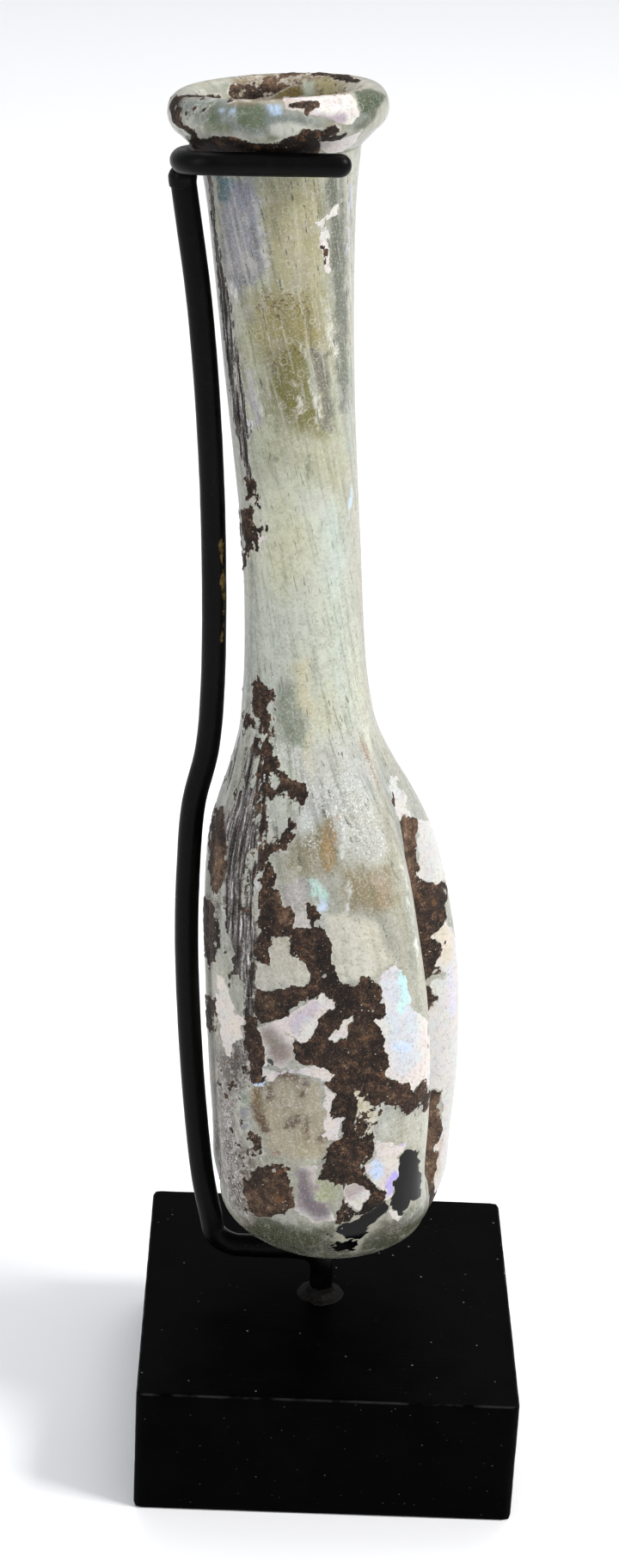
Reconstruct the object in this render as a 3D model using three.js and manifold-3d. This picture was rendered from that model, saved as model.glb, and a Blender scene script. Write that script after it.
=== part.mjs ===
// Blown glass unguentarium on a black stand: indented bottle, neck fork, bent rod and square block.
// Millimetres, +Z up, +X to the right of the front view, front towards -Y.
// Origin: centre of the block's underside.
import * as THREE from 'three';
import { mergeVertices } from 'three/addons/utils/BufferGeometryUtils.js';
import ManifoldModule from 'manifold-3d';

const rad = THREE.MathUtils.degToRad;

// Block
const block = { width: 50.8, height: 18.5, cornerRadius: 0.9, edgeBevel: 0.45 };

// Gaps between pieces that touch in the real object
const restGap = 0.3;
const brazeGap = 0.3;
const rodHoleGap = 0.3;

// Bent rod: stem in the block, arm under the bottle, upright beside it
const rod = {
  diameter: 3.15,
  stemX: -1.0,
  holeDepth: 11,
  armAboveBlock: 7.3,
  stemBend: 3.2,
  elbow: 4.2,
  sides: 12,
  steps: 84,
};

// Upright, as hand bent: share of the way up from the arm to the fork, distance left of centre,
// distance behind centre
const upright = [
  [0.031, 16.6, 0.1],
  [0.068, 17.85, 0.5],
  [0.147, 19.4, 1.3],
  [0.227, 20.5, 2.0],
  [0.306, 21.2, 2.7],
  [0.373, 21.25, 3.2],
  [0.432, 20.85, 3.6],
  [0.485, 19.3, 3.8],
  [0.545, 18.85, 4.0],
  [0.658, 19.25, 4.1],
  [0.771, 20.35, 4.2],
  [0.877, 22.05, 4.3],
  [0.950, 23.8, 4.4],
];

// Fork round the neck: U of thinner rod, open to the right, placed from the neck's axis
const fork = {
  diameter: 2.8,
  belowNeckTop: 0.3,
  neckGap: 0.3,
  forward: 0.35,
  reach: 7.1,
  frontCorner: 4.0,
  tiltBack: 9.5,
  rise: 1.6,
  joinBehindFront: 7.3,
  sides: 12,
};

// Bottle: heights are along its axis from the underside of the glass
const bottle = {
  leanBack: 3.5,
  wall: 1.4,
  floor: 2.2,
  footRadius: 1.0,
  heelHeight: 12,
  neckTop: 149.2,
  shoulderShare: 0.543,
  sides: 36,
};
// Outside radius at each share of the height up to the top of the neck
const girth = [
  [0, 16.2], [0.087, 17.15], [0.147, 17.95], [0.208, 18.2], [0.261, 18.1], [0.308, 17.6],
  [0.355, 16.7], [0.395, 15.35], [0.432, 13.35], [0.466, 11.0], [0.503, 8.95], [0.543, 8.0],
  [0.59, 7.6], [0.657, 7.45], [0.737, 7.6], [0.838, 8.1], [0.912, 8.65], [0.965, 9.2],
  [1, 9.9],
];
// Drift of the axis to the left, by the same share: the foot stands level on the arm and the neck leans
const drift = [
  [0, 0.5], [0.087, 0.6], [0.174, 0.95], [0.261, 1.8], [0.342, 3.3], [0.429, 5.2],
  [0.503, 6.4], [0.657, 8.2], [0.845, 11.1], [1.052, 13.6],
];
const lip = { ringRadius: 11.15, halfWidth: 2.15, halfHeight: 2.6, aboveNeck: 4.4 };
// Pressed-in dents: angle from the front towards the right, depth, half width as an angle
const dents = [
  { angle: 73, depth: 6.2, spread: 20 },
  { angle: -84, depth: 4.2, spread: 16 },
  { angle: 180, depth: 3.0, spread: 22 },
  { angle: 0, depth: 1.5, spread: 22 },
];
// Shares of the height between which the dents grow and fade
const dentSpan = { foot: 0.007, full: 0.134, fade: 0.295, end: 0.536 };
// Turn of the dents about the axis, degrees per millimetre of height, and the height where it is nothing
const dentTurn = { rate: 0.04, height: 32 };

// Heights that the stand and the flask share
const armHeight = block.height + rod.armAboveBlock;
const footHeight = armHeight + rod.diameter / 2 + restGap;
const topHeight = bottle.neckTop * drift[drift.length - 1][0];

const wasm = await ManifoldModule();
wasm.setup();

function toManifold(geometry) {
  const bare = new THREE.BufferGeometry();
  bare.setAttribute('position', geometry.getAttribute('position'));
  if (geometry.index) bare.setIndex(geometry.index);
  const welded = mergeVertices(bare, 1e-4);
  const keep = [];
  const index = welded.index.array;
  for (let i = 0; i < index.length; i += 3) {
    const [a, b, c] = [index[i], index[i + 1], index[i + 2]];
    if (a !== b && b !== c && c !== a) keep.push(a, b, c);
  }
  return new wasm.Manifold(new wasm.Mesh({
    numProp: 3,
    vertProperties: new Float32Array(welded.getAttribute('position').array),
    triVerts: new Uint32Array(keep),
  }));
}

function fromManifold(solid) {
  const mesh = solid.getMesh();
  const geometry = new THREE.BufferGeometry();
  geometry.setAttribute('position', new THREE.BufferAttribute(new Float32Array(mesh.vertProperties), 3));
  geometry.setIndex([...mesh.triVerts]);
  return geometry;
}

// Smooth curve through stations [position, value]
function along(stations, t) {
  const last = stations.length - 1;
  const clamped = Math.min(Math.max(t, stations[0][0]), stations[last][0]);
  let i = 0;
  while (i < last - 1 && clamped >= stations[i + 1][0]) i += 1;
  const slope = (k) => {
    const a = stations[Math.max(k - 1, 0)];
    const b = stations[Math.min(k + 1, last)];
    return (b[1] - a[1]) / (b[0] - a[0]);
  };
  const h = stations[i + 1][0] - stations[i][0];
  const u = (clamped - stations[i][0]) / h;
  const u2 = u * u;
  const u3 = u2 * u;
  return (2 * u3 - 3 * u2 + 1) * stations[i][1] + (u3 - 2 * u2 + u) * h * slope(i)
    + (3 * u2 - 2 * u3) * stations[i + 1][1] + (u3 - u2) * h * slope(i + 1);
}

const smooth = (a, b, x) => THREE.MathUtils.smoothstep(x, a, b);

// Drift of the axis to the left at a height
function driftAt(z) {
  return along(drift, z / bottle.neckTop);
}

// Outside radius before the dents; the heel rounds it in towards the foot
function outsideRadius(z) {
  const full = along(girth, z / bottle.neckTop);
  if (z >= bottle.heelHeight) return full;
  const foot = bottle.footRadius / full;
  const rise = 1 - z / bottle.heelHeight;
  return full * (foot + (1 - foot) * Math.sqrt(1 - rise * rise));
}

function bottleProfile() {
  const shoulderTop = bottle.neckTop * bottle.shoulderShare;
  const outside = [];
  const heelSteps = 7;
  for (let i = 0; i < heelSteps; i += 1) {
    const z = bottle.heelHeight * (1 - Math.cos((Math.PI / 2) * (i / heelSteps)));
    outside.push(new THREE.Vector2(outsideRadius(z), z));
  }
  const bodySteps = 21;
  for (let i = 0; i < bodySteps; i += 1) {
    const z = THREE.MathUtils.lerp(bottle.heelHeight, shoulderTop, i / bodySteps);
    outside.push(new THREE.Vector2(outsideRadius(z), z));
  }
  const neckSteps = 10;
  for (let i = 0; i <= neckSteps; i += 1) {
    const z = THREE.MathUtils.lerp(shoulderTop, bottle.neckTop, i / neckSteps);
    outside.push(new THREE.Vector2(outsideRadius(z), z));
  }
  const rim = [];
  const lipSteps = 11;
  for (let i = 0; i <= lipSteps; i += 1) {
    const a = rad(THREE.MathUtils.lerp(-62, 186, i / lipSteps));
    rim.push(new THREE.Vector2(
      lip.ringRadius + lip.halfWidth * Math.cos(a),
      bottle.neckTop + lip.aboveNeck + lip.halfHeight * Math.sin(a),
    ));
  }
  const inside = [];
  const insideSteps = 27;
  for (let i = 0; i <= insideSteps; i += 1) {
    const u = i / insideSteps;
    const z = THREE.MathUtils.lerp(bottle.neckTop, bottle.floor, u);
    const lean = outsideRadius(z + 0.5) - outsideRadius(Math.max(z - 0.5, 0.2));
    const radius = outsideRadius(z) - bottle.wall * Math.hypot(1, Math.min(Math.abs(lean), 1));
    if (z > bottle.floor + 2.5) inside.push(new THREE.Vector2(radius, z));
  }
  const innerHeel = 4;
  const start = inside[inside.length - 1];
  for (let i = 1; i <= innerHeel; i += 1) {
    const a = (Math.PI / 2) * (i / innerHeel);
    inside.push(new THREE.Vector2(
      THREE.MathUtils.lerp(start.x * 0.55, start.x, Math.cos(a)),
      THREE.MathUtils.lerp(start.y, bottle.floor, Math.sin(a)),
    ));
  }
  return [new THREE.Vector2(0, 0), ...outside, ...rim, ...inside, new THREE.Vector2(0, bottle.floor)];
}

// Dents, drifting axis and square rings, for one point of the turned shape
function shapeGlass(x, y, z) {
  const radius = Math.hypot(x, y);
  const angle = THREE.MathUtils.radToDeg(Math.atan2(x, -y));
  const share = z / bottle.neckTop;
  const span = smooth(dentSpan.foot, dentSpan.full, share) * (1 - smooth(dentSpan.fade, dentSpan.end, share));
  let depth = 0;
  for (const dent of dents) {
    const middle = dent.angle - dentTurn.rate * (z - dentTurn.height);
    const off = THREE.MathUtils.euclideanModulo(angle - middle + 180, 360) - 180;
    depth += dent.depth * Math.exp(-((off / dent.spread) ** 2));
  }
  const part = Math.min(radius / (outsideRadius(z) - bottle.wall), 1);
  const scale = radius > 0 ? (radius - depth * span * part) / radius : 1;
  const [below, above] = [Math.max(z - 1, 0), Math.min(z + 1, topHeight)];
  const slope = (driftAt(above) - driftAt(below)) / (above - below);
  return [x * scale - driftAt(z), y * scale, z + x * scale * slope];
}

function makeBottle() {
  const geometry = new THREE.LatheGeometry(bottleProfile(), bottle.sides);
  geometry.rotateX(Math.PI / 2);
  const position = geometry.getAttribute('position');
  for (let i = 0; i < position.count; i += 1) {
    position.setXYZ(i, ...shapeGlass(position.getX(i), position.getY(i), position.getZ(i)));
  }
  return geometry;
}

function roundBar(curve, diameter, sides, steps) {
  const circle = new THREE.Shape();
  for (let i = 0; i < sides; i += 1) {
    const a = (2 * Math.PI * i) / sides;
    const point = [Math.cos(a) * diameter / 2, Math.sin(a) * diameter / 2];
    if (i === 0) circle.moveTo(...point);
    else circle.lineTo(...point);
  }
  circle.closePath();
  return new THREE.ExtrudeGeometry(circle, { steps, extrudePath: curve, bevelEnabled: false });
}

// Where the fork lies: its front and back prong, its closed side, its ends and its height
function forkPlace() {
  const grip = bottle.neckTop - fork.belowNeckTop;
  const span = outsideRadius(grip) + fork.diameter / 2 + fork.neckGap;
  const axisX = -driftAt(grip);
  const axisY = grip * Math.sin(rad(bottle.leanBack)) - fork.forward;
  return {
    front: axisY - span,
    back: axisY + span,
    left: axisX - span,
    end: axisX + fork.reach,
    height: footHeight + grip,
    span,
  };
}

function makeRod() {
  const holeFloor = block.height - rod.holeDepth + rodHoleGap;
  const corner = armHeight - rod.stemBend;
  const points = [];
  for (let i = 0; i <= 3; i += 1) {
    points.push(new THREE.Vector3(rod.stemX, 0, THREE.MathUtils.lerp(holeFloor, corner - 0.5, i / 3)));
  }
  for (const a of [22.5, 45, 67.5]) {
    points.push(new THREE.Vector3(
      rod.stemX - rod.stemBend * (1 - Math.cos(rad(a))),
      0,
      corner + rod.stemBend * Math.sin(rad(a)),
    ));
  }
  const elbowX = rod.elbow - upright[0][1];
  for (let i = 0; i <= 2; i += 1) {
    const x = THREE.MathUtils.lerp(rod.stemX - rod.stemBend - 1, elbowX + 1, i / 2);
    points.push(new THREE.Vector3(x, 0, armHeight));
  }
  for (const a of [12, 36, 60]) {
    points.push(new THREE.Vector3(
      elbowX - rod.elbow * Math.sin(rad(a)),
      0,
      armHeight + rod.elbow * (1 - Math.cos(rad(a))),
    ));
  }
  const seat = forkPlace();
  for (const [share, left, back] of upright) {
    points.push(new THREE.Vector3(-left, back, THREE.MathUtils.lerp(armHeight, seat.height, share)));
  }
  const joinY = seat.front + fork.joinBehindFront;
  const drop = Math.tan(rad(fork.tiltBack)) * (fork.joinBehindFront + rod.diameter / 2);
  const underFork = seat.height - fork.diameter / 2 - brazeGap - drop;
  points.push(new THREE.Vector3(seat.left, joinY, underFork));
  const curve = new THREE.CatmullRomCurve3(points, false, 'centripetal');
  return roundBar(curve, rod.diameter, rod.sides, rod.steps);
}

function forkPoints() {
  const seat = forkPlace();
  const corner = fork.frontCorner;
  const points = [];
  for (let i = 0; i < 4; i += 1) {
    points.push([THREE.MathUtils.lerp(seat.end, seat.left + corner + 0.8, i / 3), seat.front]);
  }
  for (const a of [15, 37.5, 60, 82.5]) {
    points.push([seat.left + corner * (1 - Math.sin(rad(a))), seat.front + corner * (1 - Math.cos(rad(a)))]);
  }
  for (const a of [10, 32.5, 55, 77.5]) {
    points.push([
      seat.left + seat.span * (1 - Math.cos(rad(a))),
      seat.back - seat.span * (1 - Math.sin(rad(a))),
    ]);
  }
  for (let i = 0; i < 3; i += 1) {
    points.push([THREE.MathUtils.lerp(seat.left + seat.span + 1.5, seat.end, i / 2), seat.back]);
  }
  const rise = Math.tan(rad(fork.rise));
  const tilt = Math.tan(rad(fork.tiltBack));
  return points.map(([x, y]) => new THREE.Vector3(
    x,
    y,
    seat.height + rise * (x - seat.left) - tilt * (y - seat.front),
  ));
}

function makeFork() {
  const points = forkPoints();
  const bar = roundBar(new THREE.CatmullRomCurve3(points, false, 'centripetal'), fork.diameter, fork.sides, 40);
  let solid = toManifold(bar);
  for (const end of [points[0], points[points.length - 1]]) {
    const ball = new THREE.SphereGeometry(fork.diameter / 2, fork.sides, 8);
    ball.rotateZ(Math.PI / 2);
    ball.translate(end.x, end.y, end.z);
    solid = solid.add(toManifold(ball));
  }
  return fromManifold(solid);
}

function makeBlock() {
  const half = block.width / 2 - block.edgeBevel;
  const corner = block.cornerRadius - block.edgeBevel;
  const outline = new THREE.Shape();
  outline.moveTo(-half + corner, -half);
  outline.lineTo(half - corner, -half);
  outline.absarc(half - corner, -half + corner, corner, -Math.PI / 2, 0);
  outline.lineTo(half, half - corner);
  outline.absarc(half - corner, half - corner, corner, 0, Math.PI / 2);
  outline.lineTo(-half + corner, half);
  outline.absarc(-half + corner, half - corner, corner, Math.PI / 2, Math.PI);
  outline.lineTo(-half, -half + corner);
  outline.absarc(-half + corner, -half + corner, corner, Math.PI, 1.5 * Math.PI);
  const body = new THREE.ExtrudeGeometry(outline, {
    depth: block.height - 2 * block.edgeBevel,
    bevelEnabled: true,
    bevelThickness: block.edgeBevel,
    bevelSize: block.edgeBevel,
    bevelSegments: 2,
    curveSegments: 3,
  });
  body.translate(0, 0, block.edgeBevel);
  const holeLength = rod.holeDepth + 2;
  const hole = new THREE.CylinderGeometry(
    rod.diameter / 2 + rodHoleGap,
    rod.diameter / 2 + rodHoleGap,
    holeLength,
    24,
  );
  hole.rotateX(Math.PI / 2);
  hole.translate(rod.stemX, 0, block.height - rod.holeDepth + holeLength / 2);
  return fromManifold(toManifold(body).subtract(toManifold(hole)));
}

function piece(name, geometry, colour, options = {}) {
  const material = new THREE.MeshStandardMaterial({ color: colour, roughness: 0.45, ...options });
  material.name = name;
  const mesh = new THREE.Mesh(geometry, material);
  mesh.name = name;
  return mesh;
}

const group = new THREE.Group();
group.name = 'roman_glass_unguentarium';

const glass = piece('glass_bottle', makeBottle(), 0xb4c4a6, { roughness: 0.25, transparent: true, opacity: 0.5 });
glass.rotation.x = -rad(bottle.leanBack);
glass.position.set(0, 0, footHeight);
group.add(glass);
group.add(piece('neck_fork', makeFork(), 0x0c0c0c));
group.add(piece('support_rod', makeRod(), 0x0c0c0c));
group.add(piece('base_block', makeBlock(), 0x101012));

export default group;
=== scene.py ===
import math

import bpy
import numpy as np
from mathutils import Matrix, Vector


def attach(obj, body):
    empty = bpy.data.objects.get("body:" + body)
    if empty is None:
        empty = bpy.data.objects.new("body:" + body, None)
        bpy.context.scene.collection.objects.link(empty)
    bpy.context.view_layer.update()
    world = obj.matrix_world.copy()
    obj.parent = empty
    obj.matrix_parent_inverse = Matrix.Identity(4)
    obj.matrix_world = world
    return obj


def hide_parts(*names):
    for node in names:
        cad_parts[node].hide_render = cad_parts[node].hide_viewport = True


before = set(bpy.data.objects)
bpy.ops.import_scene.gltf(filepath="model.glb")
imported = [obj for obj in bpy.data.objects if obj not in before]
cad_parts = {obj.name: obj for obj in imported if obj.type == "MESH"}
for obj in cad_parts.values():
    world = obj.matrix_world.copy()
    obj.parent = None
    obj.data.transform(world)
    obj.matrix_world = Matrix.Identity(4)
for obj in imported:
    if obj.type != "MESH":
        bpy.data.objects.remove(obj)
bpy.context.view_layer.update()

# Sizes in millimetres, as in the solids
MM = 0.001
BLOCK_WIDTH, BLOCK_HEIGHT, BLOCK_CORNER, BLOCK_BEVEL = 50.8, 18.5, 0.9, 0.45
REST_GAP, BRAZE_GAP, HOLE_GAP = 0.3, 0.3, 0.3
ROD_DIAMETER, STEM_X, HOLE_DEPTH, ARM_ABOVE_BLOCK, STEM_BEND, ELBOW = 3.15, -1.0, 11.0, 7.3, 3.2, 4.2
UPRIGHT = [
    (0.031, 16.6, 0.1), (0.068, 17.85, 0.5), (0.147, 19.4, 1.3), (0.227, 20.5, 2.0), (0.306, 21.2, 2.7),
    (0.373, 21.25, 3.2), (0.432, 20.85, 3.6), (0.485, 19.3, 3.8), (0.545, 18.85, 4.0), (0.658, 19.25, 4.1),
    (0.771, 20.35, 4.2), (0.877, 22.05, 4.3), (0.950, 23.8, 4.4),
]
FORK_DIAMETER, FORK_BELOW_NECK_TOP, FORK_GAP, FORK_FORWARD, FORK_REACH = 2.8, 0.3, 0.3, 0.35, 7.1
FORK_CORNER, FORK_TILT, FORK_RISE, FORK_JOIN = 4.0, 9.5, 1.6, 7.3
LEAN_BACK, WALL, FLOOR, FOOT_RADIUS, HEEL_HEIGHT, NECK_TOP = 3.5, 1.4, 2.2, 1.0, 12.0, 149.2
GIRTH = [
    (0, 16.2), (0.087, 17.15), (0.147, 17.95), (0.208, 18.2), (0.261, 18.1), (0.308, 17.6), (0.355, 16.7),
    (0.395, 15.35), (0.432, 13.35), (0.466, 11.0), (0.503, 8.95), (0.543, 8.0), (0.59, 7.6), (0.657, 7.45),
    (0.737, 7.6), (0.838, 8.1), (0.912, 8.65), (0.965, 9.2), (1, 9.9),
]
DRIFT = [
    (0, 0.5), (0.087, 0.6), (0.174, 0.95), (0.261, 1.8), (0.342, 3.3), (0.429, 5.2), (0.503, 6.4),
    (0.657, 8.2), (0.845, 11.1), (1.052, 13.6),
]
LIP_RADIUS, LIP_WIDTH, LIP_HEIGHT, LIP_ABOVE_NECK = 11.15, 2.15, 2.6, 4.4
DENTS = [(73, 6.2, 20), (-84, 4.2, 16), (180, 3.0, 22), (0, 1.5, 22)]
DENT_FOOT, DENT_FULL, DENT_FADE, DENT_END = 0.007, 0.134, 0.295, 0.536
DENT_RATE, DENT_HEIGHT = 0.04, 32.0

# Heights on the flask in millimetres, for looks only: where the shoulder ends, where the neck turns into
# the lip, how far down the neck's inside the weathering goes, and where its two sheets meet
SHOULDER_END, LIP_FADE, WEATHERED_INSIDE, SPLIT_HEIGHT = 72, (147, 150), 138.0, 80.0
# Arc of the lip's section in degrees, and the rounding between the inside wall and the floor
LIP_ARC, FLOOR_ROUND, FLOOR_FLAT = (-62, 186.0), 2.5, 0.55
# Reach of the blown unevenness, and the least that the weathering stands proud of the glass
BLOWN_UNEVENNESS, SHEET_PROUD = 0.07, 0.035

ARM_HEIGHT = BLOCK_HEIGHT + ARM_ABOVE_BLOCK
FOOT_HEIGHT = ARM_HEIGHT + ROD_DIAMETER / 2 + REST_GAP
TOP_HEIGHT = NECK_TOP * DRIFT[-1][0]

# Camera of the photograph, millimetres and degrees
PHOTO_WIDTH, PHOTO_HEIGHT = 720, 1825
CAMERA_PLACE = np.array([-13.29, -359.5, 257.3])
CAMERA_YAW, CAMERA_PITCH, CAMERA_ROLL, FOCAL_PIXELS = 1.18, 24.14, 2.76, 3551.0

yaw, pitch, roll = (math.radians(a) for a in (CAMERA_YAW, CAMERA_PITCH, CAMERA_ROLL))
FORWARD = np.array([math.sin(yaw) * math.cos(pitch), math.cos(yaw) * math.cos(pitch), -math.sin(pitch)])
level = np.array([math.cos(yaw), -math.sin(yaw), 0.0])
upward = np.cross(level, FORWARD)
RIGHT = math.cos(roll) * level + math.sin(roll) * upward
UP = -math.sin(roll) * level + math.cos(roll) * upward


def project(points):
    """Photo pixel and depth of each point."""
    off = points - CAMERA_PLACE
    depth = off @ FORWARD
    return (PHOTO_WIDTH / 2 + FOCAL_PIXELS * (off @ RIGHT) / depth,
            PHOTO_HEIGHT / 2 - FOCAL_PIXELS * (off @ UP) / depth, depth)


# Curves and noise

def along(stations, t):
    """Smooth curve through stations (position, value)."""
    pos = np.array([s[0] for s in stations], float)
    val = np.array([s[1] for s in stations], float)
    t = np.clip(np.asarray(t, float), pos[0], pos[-1])
    last = len(pos) - 1
    i = np.clip(np.searchsorted(pos, t, side="right") - 1, 0, last - 1)
    low, high = np.maximum(np.arange(last + 1) - 1, 0), np.minimum(np.arange(last + 1) + 1, last)
    slope = (val[high] - val[low]) / (pos[high] - pos[low])
    h = pos[i + 1] - pos[i]
    u = (t - pos[i]) / h
    return ((2 * u**3 - 3 * u**2 + 1) * val[i] + (u**3 - 2 * u**2 + u) * h * slope[i]
            + (3 * u**2 - 2 * u**3) * val[i + 1] + (u**3 - u**2) * h * slope[i + 1])


def smooth(a, b, x):
    """Smooth step from 0 at a to 1 at b."""
    u = np.clip((np.asarray(x, float) - a) / (b - a), 0, 1)
    return u * u * (3 - 2 * u)


def lattice(ix, iy, iz, seed):
    """Fixed pseudo-random number from 0 to 1 at each whole place."""
    h = (ix.astype(np.uint32) * np.uint32(374761393) + iy.astype(np.uint32) * np.uint32(668265263)
         + iz.astype(np.uint32) * np.uint32(2246822519) + np.uint32(seed * 97 + 13))
    h = (h ^ (h >> np.uint32(13))) * np.uint32(1274126177)
    h = (h ^ (h >> np.uint32(16))) * np.uint32(2654435761)
    return ((h ^ (h >> np.uint32(15))).astype(np.float64)) / 4294967295.0


def noise(points, size, seed):
    """Value noise from -1 to 1 with features of the given size."""
    q = points / size + 1000.0
    base = np.floor(q).astype(np.int64)
    f = q - base
    f = f * f * (3 - 2 * f)
    total = np.zeros(len(points))
    for dx in (0, 1):
        for dy in (0, 1):
            for dz in (0, 1):
                w = ((f[:, 0] if dx else 1 - f[:, 0]) * (f[:, 1] if dy else 1 - f[:, 1])
                     * (f[:, 2] if dz else 1 - f[:, 2]))
                total += w * lattice(base[:, 0] + dx, base[:, 1] + dy, base[:, 2] + dz, seed)
    return total * 2 - 1


def fractal(points, size, octaves, seed):
    """Sum of noises, each half the size of the one before."""
    total, weight, norm = np.zeros(len(points)), 1.0, 0.0
    for k in range(octaves):
        total += weight * noise(points, size / 2**k, seed + 31 * k)
        norm += weight
        weight *= 0.55
    return total / norm


def tall(points, share):
    """Points with their height scaled, so that noise on them is longer upward."""
    return points * np.array([1, 1, share])


def flakes(points, size, seed):
    """A random shift from -1 to 1 on each axis, the same all over a flake of the given size."""
    q = points / size + 500.0
    base = np.floor(q).astype(np.int64)
    best, shift = np.full(len(points), 1e9), np.zeros((len(points), 3))
    for dx in (-1, 0, 1):
        for dy in (-1, 0, 1):
            for dz in (-1, 0, 1):
                cell = base + np.array([dx, dy, dz])
                spot = np.stack([lattice(*cell.T, seed + k) for k in range(3)], axis=1)
                gap = ((cell + spot - q) ** 2).sum(axis=1)
                closer = gap < best
                best[closer] = gap[closer]
                draw = np.stack([lattice(*cell.T, seed + 7 + k) for k in range(3)], axis=1)
                shift[closer] = (draw * 2 - 1)[closer]
    return shift


# Flask shape, the same formulas as the solid

def drift_at(z):
    return along(DRIFT, np.asarray(z, float) / NECK_TOP)


def outside_radius(z):
    z = np.asarray(z, float)
    full = along(GIRTH, z / NECK_TOP)
    foot = FOOT_RADIUS / full
    rise = 1 - np.clip(z / HEEL_HEIGHT, 0, 1)
    return np.where(z >= HEEL_HEIGHT, full, full * (foot + (1 - foot) * np.sqrt(1 - rise * rise)))


def resample(profile, step):
    """Points along a profile at even distances."""
    profile = np.array(profile, float)
    reach = np.concatenate([[0], np.cumsum(np.hypot(*np.diff(profile, axis=0).T))])
    count = max(int(round(reach[-1] / step)), 2)
    at = np.linspace(0, reach[-1], count + 1)
    return np.stack([np.interp(at, reach, profile[:, k]) for k in (0, 1)], axis=1)


def outer_profile():
    steps = [HEEL_HEIGHT * (1 - math.cos(math.pi / 2 * i / 80)) for i in range(80)]
    steps += list(np.linspace(HEEL_HEIGHT, NECK_TOP, 500))
    return [(float(outside_radius(z)), z) for z in steps]


def lip_profile():
    centre = NECK_TOP + LIP_ABOVE_NECK
    return [(LIP_RADIUS + LIP_WIDTH * math.cos(a), centre + LIP_HEIGHT * math.sin(a))
            for a in np.radians(np.linspace(*LIP_ARC, 90))]


def inner_profile(low=FLOOR):
    """Inside of the wall from the top of the neck down to a height, or down to the middle of the floor."""
    points = []
    for z in np.linspace(NECK_TOP, FLOOR, 500):
        if z <= FLOOR + FLOOR_ROUND or z < low:
            break
        lean = float(outside_radius(z + 0.5) - outside_radius(max(z - 0.5, 0.2)))
        points.append((float(outside_radius(z)) - WALL * math.hypot(1, min(abs(lean), 1)), z))
    if low > FLOOR:
        return points
    x, z = points[-1]
    for i in range(1, 41):
        a = math.pi / 2 * i / 40
        flat = x * FLOOR_FLAT
        points.append((flat + (x - flat) * math.cos(a), z + (FLOOR - z) * math.sin(a)))
    return points


def shape_glass(p):
    """Dents and drift on turned points, then small blown unevenness."""
    x, y, z = p[:, 0], p[:, 1], p[:, 2]
    radius = np.hypot(x, y)
    angle = np.degrees(np.arctan2(x, -y))
    share = z / NECK_TOP
    span = smooth(DENT_FOOT, DENT_FULL, share) * (1 - smooth(DENT_FADE, DENT_END, share))
    depth = np.zeros(len(p))
    for at, deep, spread in DENTS:
        off = (angle - (at - DENT_RATE * (z - DENT_HEIGHT)) + 180) % 360 - 180
        depth += deep * np.exp(-(off / spread) ** 2)
    part = np.minimum(radius / (outside_radius(z) - WALL), 1)
    uneven = BLOWN_UNEVENNESS * noise(tall(p, 0.45), 9.0, 5) * smooth(4, 14, z)
    scale = np.where(radius > 1e-6, (radius - depth * span * part + uneven * part) / np.maximum(radius, 1e-6), 1)
    below, above = np.maximum(z - 1, 0), np.minimum(z + 1, TOP_HEIGHT)
    slope = (drift_at(above) - drift_at(below)) / (above - below)
    sx = x * scale
    return np.stack([sx - drift_at(z), y * scale, z + sx * slope], axis=1)


def place_glass(p):
    a = math.radians(LEAN_BACK)
    return np.stack([p[:, 0], p[:, 1] * math.cos(a) + p[:, 2] * math.sin(a),
                     -p[:, 1] * math.sin(a) + p[:, 2] * math.cos(a) + FOOT_HEIGHT], axis=1)


def turned(profile, columns):
    """Grid of glass points: rows follow the profile, columns go round."""
    rows = len(profile)
    turn = np.arange(columns) * 2 * math.pi / columns
    r, z = np.array(profile).T
    grid = np.zeros((rows, columns, 3))
    grid[:, :, 0] = r[:, None] * np.sin(turn)[None, :]
    grid[:, :, 1] = -r[:, None] * np.cos(turn)[None, :]
    grid[:, :, 2] = z[:, None]
    flat = place_glass(shape_glass(grid.reshape(-1, 3)))
    return flat.reshape(rows, columns, 3)


def grid_normals(grid):
    n = np.cross(np.roll(grid, -1, axis=1) - np.roll(grid, 1, axis=1), np.gradient(grid, axis=0))
    return n / np.maximum(np.linalg.norm(n, axis=2, keepdims=True), 1e-9)


def grid_faces(rows, columns):
    i, j = np.meshgrid(np.arange(rows - 1), np.arange(columns), indexing="ij")
    k = (j + 1) % columns
    low, high = i * columns, (i + 1) * columns
    return np.stack([low + j, low + k, high + k, high + j], axis=-1).reshape(-1, 4)


def make_mesh(name, points, quads, tris=(), smooth_shade=True):
    """Mesh object from points in millimetres."""
    mesh = bpy.data.meshes.new(name)
    quads = np.asarray(quads, int).reshape(-1, 4)
    tris = np.asarray(tris, int).reshape(-1, 3)
    mesh.from_pydata((np.asarray(points) * MM).tolist(), [], quads.tolist() + tris.tolist())
    mesh.validate()
    mesh.update()
    if smooth_shade:
        mesh.polygons.foreach_set("use_smooth", np.ones(len(mesh.polygons), bool))
    piece = bpy.data.objects.new(name, mesh)
    bpy.context.scene.collection.objects.link(piece)
    return piece


def caps(points, ring, inward):
    """Fan that closes a ring with one point; returns the points and the triangles."""
    centre = len(points)
    points = np.vstack([points, points[ring].mean(axis=0)])
    turn = np.roll(ring, -1)
    tris = [(int(a), int(b), centre) if inward else (int(b), int(a), centre) for a, b in zip(ring, turn)]
    return points, tris


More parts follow.
